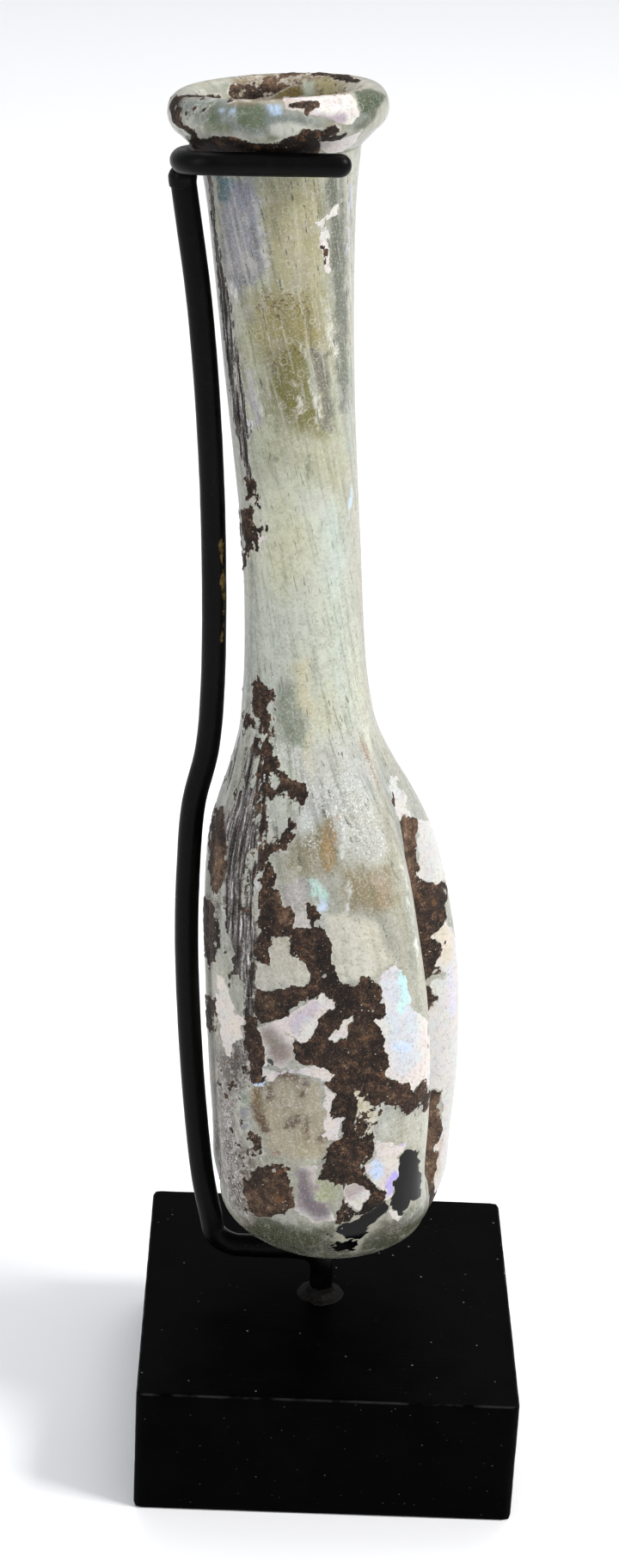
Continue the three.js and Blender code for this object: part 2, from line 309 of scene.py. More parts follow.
def closed_mesh(name, points, rows, columns):
    """Mesh from rows of points that go round, closed at the first and the last row."""
    quads = grid_faces(rows, columns)
    points, low = caps(points, np.arange(columns), inward=False)
    points, high = caps(points, np.arange((rows - 1) * columns, rows * columns), inward=True)
    return make_mesh(name, points, quads, low + high)


def off_axis(profile):
    """Profile kept a little off the axis, so that no row of points falls into one."""
    profile = np.array(profile)
    profile[:, 0] = np.maximum(profile[:, 0], 0.05)
    return profile


def turns(rows, columns):
    """Angle round the flask in degrees of each point of a grid."""
    return np.tile(np.degrees(np.arange(columns) * 2 * math.pi / columns), rows)


def give(piece, name, values):
    """Attribute at each vertex: a number, a place in millimetres or a colour."""
    values = np.asarray(values, np.float32)
    kind, field = "FLOAT", "value"
    if name in ("upright", "leaning"):
        kind, field, values = "FLOAT_VECTOR", "vector", values * MM
    elif values.ndim == 2:
        kind, field = "FLOAT_COLOR", "color"
        values = np.column_stack([values, np.ones(len(values), np.float32)])
    piece.data.attributes.new(name, kind, "POINT").data.foreach_set(field, values.ravel())


# Materials

class Look:
    """A material and short calls that add its nodes."""

    def __init__(self, name):
        self.material = bpy.data.materials.new(name)
        self.material.use_nodes = True
        self.tree = self.material.node_tree
        self.tree.nodes.clear()
        self.out = self.tree.nodes.new("ShaderNodeOutputMaterial")
        self.place = self.tree.nodes.new("ShaderNodeTexCoord").outputs["Object"]

    def put(self, socket, value):
        if isinstance(value, bpy.types.NodeSocket):
            self.tree.links.new(value, socket)
        elif socket.type == "RGBA" and len(value) == 3:
            socket.default_value = (*value, 1)
        else:
            socket.default_value = value

    def node(self, kind, inputs=(), **settings):
        n = self.tree.nodes.new("ShaderNode" + kind)
        for key, value in settings.items():
            setattr(n, key, value)
        for key, value in dict(inputs).items():
            self.put(n.inputs[key], value)
        return n

    def read(self, name, colour=False):
        n = self.node("Attribute", attribute_name=name)
        return n.outputs["Color" if colour else "Fac"]

    def math(self, kind, a, b=0.0, clamp=False):
        return self.node("Math", {0: a, 1: b}, operation=kind, use_clamp=clamp).outputs[0]

    def times(self, a, b):
        return self.math("MULTIPLY", a, b)

    def plus(self, a, b, clamp=False):
        return self.math("ADD", a, b, clamp)

    def most(self, a, b):
        return self.math("MAXIMUM", a, b)

    def centred(self, value, reach):
        """Noise moved to lie round 0 and scaled."""
        return self.times(self.math("SUBTRACT", value, 0.5), reach)

    def step(self, value, low, high):
        return self.node("MapRange", {"Value": value, "From Min": low, "From Max": high},
                         interpolation_type="SMOOTHSTEP").outputs[0]

    def mix(self, share, a, b):
        n = self.node("Mix", {0: share}, data_type="RGBA")
        self.put(n.inputs[6], a)
        self.put(n.inputs[7], b)
        return n.outputs[2]

    def coat(self, under, rgb, mask, strength=None):
        """Colour with a screen tone laid over it where a mask says so."""
        return self.mix(mask if strength is None else self.times(mask, strength), under, tone(*rgb))

    def blend(self, share, a, b):
        n = self.node("Mix", {0: share}, data_type="FLOAT")
        self.put(n.inputs[2], a)
        self.put(n.inputs[3], b)
        return n.outputs[0]

    def noise(self, size, detail=3.0, stretch=None, rough=0.55, way=None):
        """Noise with features of a size in millimetres, longer by a factor on each axis where stretch says so,
        in a piece's own coordinates where it has some under the name in way."""
        where = self.node("Attribute", attribute_name=way).outputs["Vector"] if way else self.place
        if stretch:
            where = self.node("Mapping", {"Vector": where, "Scale": stretch}, vector_type="TEXTURE").outputs[0]
        return self.node("TexNoise", {"Vector": where, "Scale": 1000.0 / size, "Detail": detail,
                                      "Roughness": rough}).outputs["Fac"]

    def cells(self, size):
        """Distance to the nearest of points that lie about a size in millimetres apart."""
        return self.node("TexVoronoi", {"Vector": self.place, "Scale": 1000.0 / size}).outputs["Distance"]

    def ramp(self, value, stops, screen=True):
        """Colours at given values, as screen tones or else linear."""
        n = self.node("ValToRGB", {"Fac": value})
        ramp = n.color_ramp
        while len(ramp.elements) > 1:
            ramp.elements.remove(ramp.elements[-1])
        for k, (at, colour) in enumerate(stops):
            e = ramp.elements[0] if k == 0 else ramp.elements.new(at)
            e.position = at
            e.color = (*(tone(*colour) if screen else colour), 1)
        return n.outputs["Color"]

    def bump(self, height, millimetres):
        return self.node("Bump", {"Height": height, "Distance": millimetres * MM, "Strength": 1.0}).outputs[0]

    def surface(self, **inputs):
        """Principled surface; its inputs are named with underscores for spaces."""
        n = self.node("BsdfPrincipled", {k.replace("_", " "): v for k, v in inputs.items()})
        self.tree.links.new(n.outputs[0], self.out.inputs["Surface"])
        return self.material


def tone(r, g, b):
    """Linear colour from screen values out of 255."""
    return tuple(((c / 255 + 0.055) / 1.055) ** 2.4 if c > 10 else c / 255 / 12.92 for c in (r, g, b))


# Painting on the flask. Shapes are read off the photograph, in its pixels: an outline is a ring
# of points, a stroke is a line of points with half widths

class Canvas:
    """Skin points with what the photo shows at each; strokes are placed on a guide or on the points."""

    def __init__(self, points, normals, turn=None, height=None, guide=None):
        self.guide = guide or self
        self.points = points
        height = np.zeros(len(points)) if height is None else height
        if guide:
            calm = (1 - 0.75 * smooth(*LIP_FADE, height))[:, None]
            self.points = points + calm * (0.30 * flakes(points, 1.5, 201) + 0.20 * flakes(points, 0.7, 211))
        self.u, self.v, self.depth = project(self.points)
        sight = CAMERA_PLACE - points
        self.cosine = cosine = np.einsum("ij,ij->i", normals, sight) / np.linalg.norm(sight, axis=1)
        turn = np.zeros(len(points)) if turn is None else turn
        rear = (turn > DENTS[0][0] - DENT_RATE * (height - DENT_HEIGHT)) & (turn < 180) & (height < SHOULDER_END)
        loose = cosine > -0.25 + 0.3 * fractal(points, 3.0, 2, 7)
        self.shows = {"front": np.nonzero((cosine > 0) & ~rear)[0], "rear": np.nonzero((cosine > 0) & rear)[0]}
        self.takes = {"front": loose & ~rear, "rear": loose & rear, "all": np.ones(len(points), bool)}

    def find(self, px, py, group):
        """Nearest visible point to a photo pixel, and the pixel's size there."""
        ids = self.shows[group]
        near = np.hypot(self.u[ids] - px, self.v[ids] - py)
        close = near < max(near.min() + 1.5, 4.0)
        pick = self.depth[ids[close]] + 0.08 * near[close]
        best = ids[close][int(np.argmin(pick))]
        return self.points[best], self.depth[best] / FOCAL_PIXELS

    def stroke(self, line, group="front"):
        """Distance in millimetres from the edge of a stroke, negative inside."""
        spots = [self.guide.find(px, py, group) for px, py, _ in line]
        centre = np.array([spot for spot, _ in spots])
        half = np.array([w * pixel for (_, pixel), (_, _, w) in zip(spots, line)])
        if len(line) == 1:
            return np.linalg.norm(self.points - centre[0], axis=1) - half[0]
        best = np.full(len(self.points), 99.0)
        for a, b, wa, wb in zip(centre[:-1], centre[1:], half[:-1], half[1:]):
            ab = b - a
            t = np.clip((self.points - a) @ ab / max(float(ab @ ab), 1e-9), 0, 1)
            gap = np.linalg.norm(self.points - a - t[:, None] * ab, axis=1)
            best = np.minimum(best, gap - (wa + (wb - wa) * t))
        return best

    def outline(self, ring, group="front"):
        """Distance in millimetres from an outline, negative inside."""
        ring = np.array(ring, float)
        best = np.full(len(self.points), 99.0)
        low, high = ring.min(axis=0) - 25, ring.max(axis=0) + 25
        ids = np.nonzero(self.takes[group] & (self.u > low[0]) & (self.u < high[0])
                         & (self.v > low[1]) & (self.v < high[1]))[0]
        x, y = self.u[ids], self.v[ids]
        gap, inside = np.full(len(ids), 1e9), np.zeros(len(ids), bool)
        for (ax, ay), (bx, by) in zip(ring, np.roll(ring, -1, axis=0)):
            dx, dy = bx - ax, by - ay
            t = np.clip(((x - ax) * dx + (y - ay) * dy) / (dx * dx + dy * dy + 1e-9), 0, 1)
            gap = np.minimum(gap, np.hypot(x - ax - t * dx, y - ay - t * dy))
            inside ^= ((ay > y) != (by > y)) & (x < dx * (y - ay) / (dy if dy else 1e-9) + ax)
        best[ids] = np.where(inside, -gap, gap) * self.depth[ids] / FOCAL_PIXELS
        return best

    def area(self, shapes, group=None):
        """Union of named or listed outlines and strokes."""
        best = np.full(len(self.points), 99.0)
        pairs = shapes.items() if isinstance(shapes, dict) else (("", s) for s in shapes)
        for name, shape in pairs:
            side = group or ("rear" if name.startswith("rear") else "front")
            draw = self.stroke if len(shape[0]) == 3 else self.outline
            best = np.minimum(best, draw(shape, side))
        return best

    def near(self, shapes, soft, group=None):
        """Share from 0 to 1, full inside the shapes and gone a soft edge away."""
        return np.clip(0.5 - self.area(shapes, group) / soft, 0, 1)


BROWN_CRUST = {
    "left_blob": [(312, 1035), (319, 1037), (325, 1047), (335, 1055), (344, 1062), (342, 1072), (339, 1082),
        (335, 1090), (325, 1091), (317, 1095), (311, 1105), (311, 1120), (300, 1121), (297, 1095), (300, 1080),
        (307, 1060), (309, 1045)],
    "island": [(356, 1056), (365, 1054), (370, 1059), (375, 1069), (370, 1075), (364, 1079), (360, 1070)],
    "cross": [(342, 1079), (355, 1077), (375, 1077), (380, 1087), (383, 1100), (385, 1117), (388, 1132), (393, 1140),
        (400, 1144), (415, 1148), (422, 1139), (432, 1138), (436, 1145), (440, 1152), (446, 1161), (444, 1170),
        (445, 1175), (443, 1186), (428, 1189), (410, 1192), (408, 1183), (396, 1180), (388, 1177), (389, 1162),
        (378, 1159), (368, 1160), (355, 1165), (338, 1174), (335, 1183), (323, 1185), (305, 1192), (300, 1186),
        (296, 1166), (300, 1152), (325, 1151), (350, 1148), (361, 1144), (362, 1135), (361, 1125), (350, 1116),
        (338, 1109), (336, 1095)],
    "trunk": [(410, 1190), (428, 1189), (437, 1200), (445, 1209), (444, 1220), (451, 1237), (446, 1247), (448, 1254),
        (457, 1257), (470, 1259), (480, 1271), (489, 1257), (494, 1256), (492, 1267), (499, 1270), (496, 1290),
        (490, 1297), (487, 1280), (482, 1296), (475, 1294), (461, 1296), (457, 1287), (445, 1285), (438, 1295),
        (434, 1310), (435, 1325), (434, 1335), (427, 1345), (421, 1354), (426, 1367), (437, 1380), (447, 1385),
        (452, 1397), (447, 1406), (437, 1410), (420, 1412), (410, 1413), (400, 1422), (393, 1424), (391, 1415),
        (397, 1400), (400, 1390), (397, 1380), (385, 1377), (377, 1375), (372, 1370), (376, 1355), (378, 1345),
        (385, 1335), (395, 1322), (400, 1320), (398, 1310), (399, 1302), (385, 1300), (388, 1285), (390, 1272),
        (380, 1269), (380, 1257), (389, 1247), (380, 1244), (365, 1240), (353, 1240), (342, 1232), (340, 1212),
        (350, 1211), (357, 1214), (362, 1205), (370, 1192), (375, 1182), (388, 1177), (398, 1180), (408, 1184)],
    "cross_joins": [(392, 1150, 9), (396, 1165, 6), (392, 1178, 6), (386, 1188, 5), (378, 1192, 4)],
    "joins_right": [(412, 1180, 7), (425, 1192, 7), (438, 1202, 4)],
    "joins_left": [(382, 1186, 5), (372, 1198, 5), (364, 1212, 5), (372, 1225, 8)],
    "cross_arm": [(372, 1088, 7), (376, 1110, 7), (378, 1130, 8), (380, 1148, 8)],
    "left_lobe": [(249, 938), (260, 940), (264, 975), (263, 1005), (258, 1030), (252, 1042), (246, 1030),
        (243, 1000), (245, 965)],
    "left_lobe_low": [(235, 1046), (250, 1050), (255, 1066), (254, 1090), (251, 1120), (246, 1128), (240, 1112),
        (235, 1080)],
    "left_lobe_foot": [(240, 1160), (251, 1162), (252, 1190), (247, 1206), (240, 1190)],
    "left_strip": [(284, 1184), (300, 1182), (302, 1210), (309, 1227), (309, 1256), (300, 1257), (291, 1254),
        (290, 1235), (285, 1222), (286, 1210)],
    "rust_round": [(300, 1360), (310, 1352), (325, 1355), (337, 1360), (340, 1385), (341, 1400), (330, 1412),
        (317, 1417), (300, 1415), (291, 1407), (287, 1395), (285, 1380), (292, 1365)],
    "diagonal": [(292, 1315), (300, 1322), (306, 1335), (308, 1345), (300, 1342), (293, 1330), (289, 1320)],
    "shoulder": [(315, 880), (321, 887), (321, 895), (335, 900), (336, 907), (342, 912), (354, 912), (355, 935),
        (350, 935), (345, 927), (335, 936), (325, 930), (317, 932), (312, 925), (315, 912), (325, 908), (321, 902),
        (315, 897), (311, 890)],
    "shoulder_low": [(335, 950), (339, 947), (342, 952), (340, 970), (343, 979), (333, 986), (323, 989), (315, 995),
        (307, 1000), (302, 995), (307, 985), (322, 982), (323, 975), (333, 967), (336, 960)],
    "link": [(311, 1005), (317, 1012), (319, 1030), (313, 1036), (310, 1020)],
    "streak_upper": [(293, 790), (300, 788), (305, 798), (313, 802), (315, 825), (318, 848), (312, 856), (306, 848),
        (307, 862), (303, 876), (300, 868), (299, 835), (298, 812), (293, 800)],
    "streak_left": [(288, 832), (293, 836), (296, 855), (288, 850), (286, 840)],
    "streak_foot": [(313, 872), (317, 870), (319, 882), (323, 890), (318, 893), (314, 884)],
    "neck_patch": [(287, 552), (292, 558), (295, 567), (293, 578), (287, 580), (286, 566)],
    "neck_patch_low": [(281, 596), (290, 592), (293, 585), (297, 590), (298, 610), (300, 622), (303, 638),
        (299, 643), (293, 630), (290, 622), (291, 640), (284, 640), (282, 620)],
    "neck_patch_right": [(291, 560, 1.5), (297, 590, 2), (302, 625, 2.5)],
    "neck_patch_foot": [(283, 642), (288, 644), (286, 660), (283, 662)],
    "under_lip": [(224, 156), (235, 162), (250, 158), (275, 160), (300, 168), (320, 166), (345, 158), (352, 148),
        (362, 150), (372, 152), (388, 147), (392, 151), (380, 158), (370, 160), (372, 172), (366, 180), (300, 184),
        (250, 182), (222, 172)],
    "under_lip_flecks": [(380, 164, 3), (398, 160, 3), (403, 157, 2)],
    "lip_marks": [(341, 121, 2.5), (350, 122, 2.5), (362, 120, 4), (367, 121, 4)],
    "lip_mark_drop": [(357, 124, 2), (358, 131, 2)],
    "lip_left": [(199, 118, 3), (198, 132, 4), (204, 143, 4), (214, 151, 4), (226, 157, 3)],
    "lip_left_top": [(207, 113, 3), (219, 110, 3), (236, 111, 3)],
    "mouth_left": [(268, 101), (272, 94), (284, 91), (300, 89), (302, 98), (301, 112), (290, 118), (272, 116),
        (266, 108)],
    "mouth_tail": [(243, 109, 2.5), (256, 111, 3), (270, 114, 3)],
    "mouth_middle": [(300, 95), (312, 89), (340, 86), (356, 87), (354, 95), (336, 99), (325, 105), (312, 112),
        (300, 110)],
    "mouth_right": [(384, 87, 2.5), (400, 89, 3.5), (416, 93, 2.5)],
    "mouth_top": [(296, 90, 2), (330, 86, 2), (370, 84, 1.6), (404, 86, 2)],
    "flake_core": [(377, 290, 2), (381, 298, 2.5), (382, 308, 2)],
    "shoulder_fleck": [(459, 922, 2)],
    "shoulder_fleck_low": [(461, 934, 2.5)],
    "rear_upper": [(466, 952), (475, 949), (485, 955), (485, 967), (481, 977), (486, 987), (482, 995), (484, 1010),
        (487, 1025), (500, 1027), (507, 1030), (512, 1024), (517, 1032), (515, 1055), (517, 1067), (510, 1080),
        (502, 1090), (515, 1097), (511, 1110), (507, 1125), (515, 1131), (507, 1134), (497, 1136), (490, 1141),
        (475, 1141), (450, 1050), (450, 970)],
    "rear_notch": [(480, 1146), (500, 1147), (501, 1155), (511, 1161), (505, 1170), (499, 1182), (492, 1190),
        (480, 1190)],
    "rear_foot": [(513, 1264), (500, 1272), (485, 1275), (485, 1430), (493, 1425), (501, 1417), (506, 1397),
        (505, 1360), (506, 1335), (515, 1317), (516, 1307), (509, 1295), (511, 1277)],
    "rear_fleck": [(458, 921, 2), (460, 934, 3)],
}
GREY_CRUST = {
    "upper": [(287, 897), (292, 900), (290, 915), (297, 927), (297, 952), (300, 977), (292, 990), (285, 1005),
        (286, 1020), (278, 1022), (279, 1045), (271, 1052), (263, 1030), (264, 1010), (266, 1000), (265, 977),
        (265, 952), (271, 937), (279, 917), (286, 917)],
    "smudge": [(270, 1067), (285, 1060), (295, 1067), (296, 1095), (296, 1120), (297, 1145), (285, 1147),
        (281, 1125), (275, 1110), (275, 1095), (269, 1080)],
    "dark_streak": [(284, 1130), (290, 1120), (296, 1130), (297, 1182), (285, 1186)],
    "neck_edge": [(241, 206, 6), (245, 250, 7), (250, 290, 8), (255, 330, 11), (261, 375, 11), (264, 410, 10),
        (268, 450, 10), (273, 480, 13), (279, 510, 12), (283, 535, 9), (287, 552, 6)],
}
COMBED = {
    "left_panel": [(270, 870), (300, 872), (303, 930), (302, 1010), (300, 1070), (298, 1150), (284, 1150),
        (268, 1100), (262, 1040), (266, 960)],
    "neck_left": [(258, 330, 8), (268, 400, 8), (276, 450, 8), (284, 500, 8)],
    "shoulder_left": [(276, 860, 8), (268, 900, 10), (258, 940, 8)],
}
BROWN_COMBED = {
    "column": [(299, 866), (312, 872), (316, 930), (314, 975), (312, 1010), (316, 1035), (312, 1056), (300, 1060),
        (296, 1000), (297, 950), (298, 905)],
    "low_left_edge": [(286, 1196), (300, 1190), (304, 1260), (294, 1262), (288, 1230)],
}
# Near-black over the crust: painted shade under the lip and at the foot, and darker crust down the left edge and at
# two spots of the trunk
SHADE_AND_DARK_SPOTS = {
    "under_lip": [(220, 156), (300, 164), (352, 150), (392, 148), (384, 170), (370, 186), (222, 186)],
    "foot": [(410, 1412, 10), (440, 1400, 8)],
    "trunk": [(404, 1170, 10), (370, 1100, 8)],
    "arm": [(358, 1222, 9)],
    "left_edge": [(250, 1080, 8), (248, 1110, 8)],
}
PITTED = {
    "trunk_pale": [(414, 1268), (428, 1280), (438, 1288), (434, 1318), (420, 1330), (410, 1310), (416, 1290)],
    "right": [(452, 1284), (470, 1290), (462, 1300), (448, 1298)],
    "mouth": [(262, 86), (362, 82), (362, 114), (262, 122)],
    "shoulder": [(300, 900), (322, 900), (336, 936), (300, 990)],
}
FRECKLED = {
    "low_left": [(254, 1230), (292, 1210), (290, 1300), (306, 1345), (304, 1412), (286, 1424), (266, 1400),
        (252, 1360)],
    "panel": [(258, 900), (300, 900), (300, 1150), (262, 1150)],
    "lip_end": [(196, 114), (236, 106), (250, 118), (240, 140), (222, 156), (206, 147), (195, 134)],
    "trunk_right": [(436, 1296), (462, 1297), (458, 1312), (436, 1316)],
}
MOTTLED = {
    "shoulder": [(303, 885), (318, 890), (322, 912), (318, 930), (345, 933), (345, 950), (342, 980), (330, 990),
        (312, 1000), (316, 1035), (302, 1045), (300, 1000), (303, 940)],
    "streak": [(283, 800), (320, 800), (322, 870), (305, 905), (288, 900)],
    "left": [(262, 1000), (300, 1000), (300, 1070), (268, 1070)],
    "lip_end": [(196, 114), (206, 110), (212, 120), (212, 140), (206, 147), (195, 134)],
}
UPPER_WINDOW = [(397, 1185), (406, 1182), (409, 1189), (403, 1205), (404, 1220), (400, 1207), (390, 1216),
    (384, 1207), (384, 1199), (392, 1195)]
DROP = [(397, 1385), (410, 1374), (420, 1380), (430, 1387), (425, 1397), (415, 1410), (402, 1406), (401, 1397)]
CRUST_GAPS = {
    "window_upper": UPPER_WINDOW,
    "drop": DROP,
    "small_a": [(376, 1137, 2.5)],
    "small_b": [(370, 1098, 1.5)],
    "small_c": [(432, 1178, 2)],
    "small_d": [(430, 1270, 2.5)],
    "nick_a": [(378, 1200, 2)],
    "nick_b": [(403, 1230, 1.5)],
    "nick_c": [(356, 1231, 2)],
    "rust_window_a": [(314, 1362, 3)],
    "rust_window_b": [(334, 1372, 2)],
    "column": [(301, 1008, 2), (300, 1030, 3.5), (298, 1060, 3.5), (297, 1088, 3)],
    "column_top": [(305, 905, 1.5), (303, 940, 2)],
    "column_middle": [(306, 962, 2), (304, 990, 2)],
    "trunk_line": [(402, 1192, 0.2), (406, 1225, 0.5), (411, 1262, 0.2), (416, 1290, 0.8)],
    "trunk_line_right": [(425, 1262, 1), (432, 1300, 1.5), (428, 1330, 1)],
}
BARE = {
    "dark_island": [(313, 1231), (320, 1232), (320, 1242), (315, 1241)],
}
# Painted shade: windows of clear glass covered by an opaque near-black sheet, standing in for the dark hollow seen
# through them
SHADED_WINDOWS = {
    "black_window": [(471, 1337), (486, 1340), (486, 1360), (490, 1375), (485, 1395), (474, 1397), (471, 1410),
        (463, 1412), (456, 1402), (459, 1385), (461, 1360), (464, 1347)],
    "foot_window": [(452, 1395), (451, 1412), (440, 1420), (430, 1427), (422, 1437), (410, 1442), (390, 1435),
        (393, 1427), (410, 1422), (422, 1412), (437, 1406)],
    "foot_slit": [(382, 1450), (390, 1445), (415, 1445), (417, 1450), (410, 1455), (392, 1456)],
    "foot_slit_thin": [(378, 1437, 1.5), (386, 1442, 2)],
    "neck_slit": [(298, 575, 1.6), (303, 600, 2.4), (308, 624, 1.8)],
}
PEARL = {
    "cream_left": [(254, 1130), (262, 1140), (267, 1152), (272, 1170), (272, 1177), (282, 1187), (285, 1211),
        (272, 1211), (269, 1230), (262, 1222), (255, 1200), (252, 1175)],
    "above_trunk": [(355, 1168), (370, 1159), (388, 1160), (389, 1177), (373, 1182), (367, 1197), (357, 1214),
        (350, 1211), (345, 1205), (330, 1200), (322, 1187), (335, 1180), (345, 1175)],
    "lilac": [(299, 1168), (309, 1172), (310, 1180), (300, 1181)],
    "pink_brown": [(302, 1197), (322, 1187), (330, 1202), (345, 1205), (340, 1214), (341, 1232), (325, 1242),
        (310, 1242), (309, 1225), (301, 1210)],
    "window_upper": UPPER_WINDOW,
    "band": [(309, 1246), (342, 1244), (365, 1240), (389, 1246), (380, 1256), (365, 1255), (332, 1251), (320, 1257),
        (309, 1256)],
    "band_blue": [(291, 1255), (307, 1257), (307, 1265), (297, 1264)],
    "band_right": [(375, 1255), (380, 1270), (390, 1275), (386, 1295), (399, 1302), (395, 1322), (385, 1330),
        (377, 1320), (377, 1300), (380, 1285), (375, 1267)],
    "right_upper": [(437, 1145), (445, 1130), (460, 1120), (469, 1130), (476, 1152), (478, 1175), (497, 1185),
        (501, 1235), (501, 1265), (489, 1257), (480, 1271), (470, 1259), (448, 1254), (446, 1247), (451, 1237),
        (444, 1220), (445, 1209), (437, 1200), (428, 1189), (444, 1187), (446, 1165)],
    "right_window": [(435, 1325), (445, 1330), (460, 1332), (470, 1330), (469, 1337), (462, 1345), (460, 1365),
        (456, 1380), (457, 1397), (450, 1395), (447, 1384), (437, 1380), (426, 1367), (421, 1354), (434, 1344)],
    "drop": DROP,
    "foot_tear": [(454, 1397), (459, 1407), (465, 1412), (461, 1419), (451, 1412)],
    "foot_violet": [(343, 1367), (352, 1352), (369, 1360), (367, 1397), (380, 1399), (388, 1412), (393, 1425),
        (375, 1420), (365, 1425), (342, 1410), (348, 1385)],
    "flake": [(386, 238), (393, 236), (391, 249), (384, 258), (380, 256), (381, 280), (385, 314), (379, 318),
        (375, 300), (372, 280), (375, 262), (366, 258), (378, 252)],
    # Painted reflection: the pink-to-white band of light on the front of the lip, laid as pearly film
    "lip_pink": [(326, 112), (345, 113), (372, 112), (408, 108), (414, 116), (418, 134), (405, 146), (392, 140),
        (372, 134), (352, 132), (334, 126)],
    "under_lip_white": [(372, 172), (373, 160), (384, 158), (395, 162), (410, 156), (420, 150), (412, 168),
        (398, 178), (380, 180)],
    "patch_edge": [(293, 600, 1.5), (297, 612, 1.5), (300, 630, 3), (306, 628, 2.5)],
    "patch_edge_top": [(286, 582, 2.5), (291, 583, 2.5), (292, 570, 1.5)],
    "rear_white": [(486, 950), (500, 957), (510, 977), (519, 1010), (514, 1024), (507, 1030), (487, 1025),
        (484, 1010), (486, 987)],
    "rear_cream": [(517, 1067), (528, 1082), (533, 1120), (520, 1133), (507, 1125), (511, 1110), (515, 1097),
        (502, 1090), (510, 1080)],
    "rear_lavender": [(500, 1140), (520, 1133), (535, 1120), (536, 1262), (512, 1264), (490, 1273), (485, 1190),
        (505, 1175), (511, 1160), (500, 1147)],
    "rear_foot": [(512, 1264), (535, 1262), (530, 1335), (518, 1400), (506, 1395), (506, 1335), (516, 1310)],
    "rear_strip": [(458, 905), (470, 925), (480, 950), (466, 965), (457, 945), (452, 915)],
}
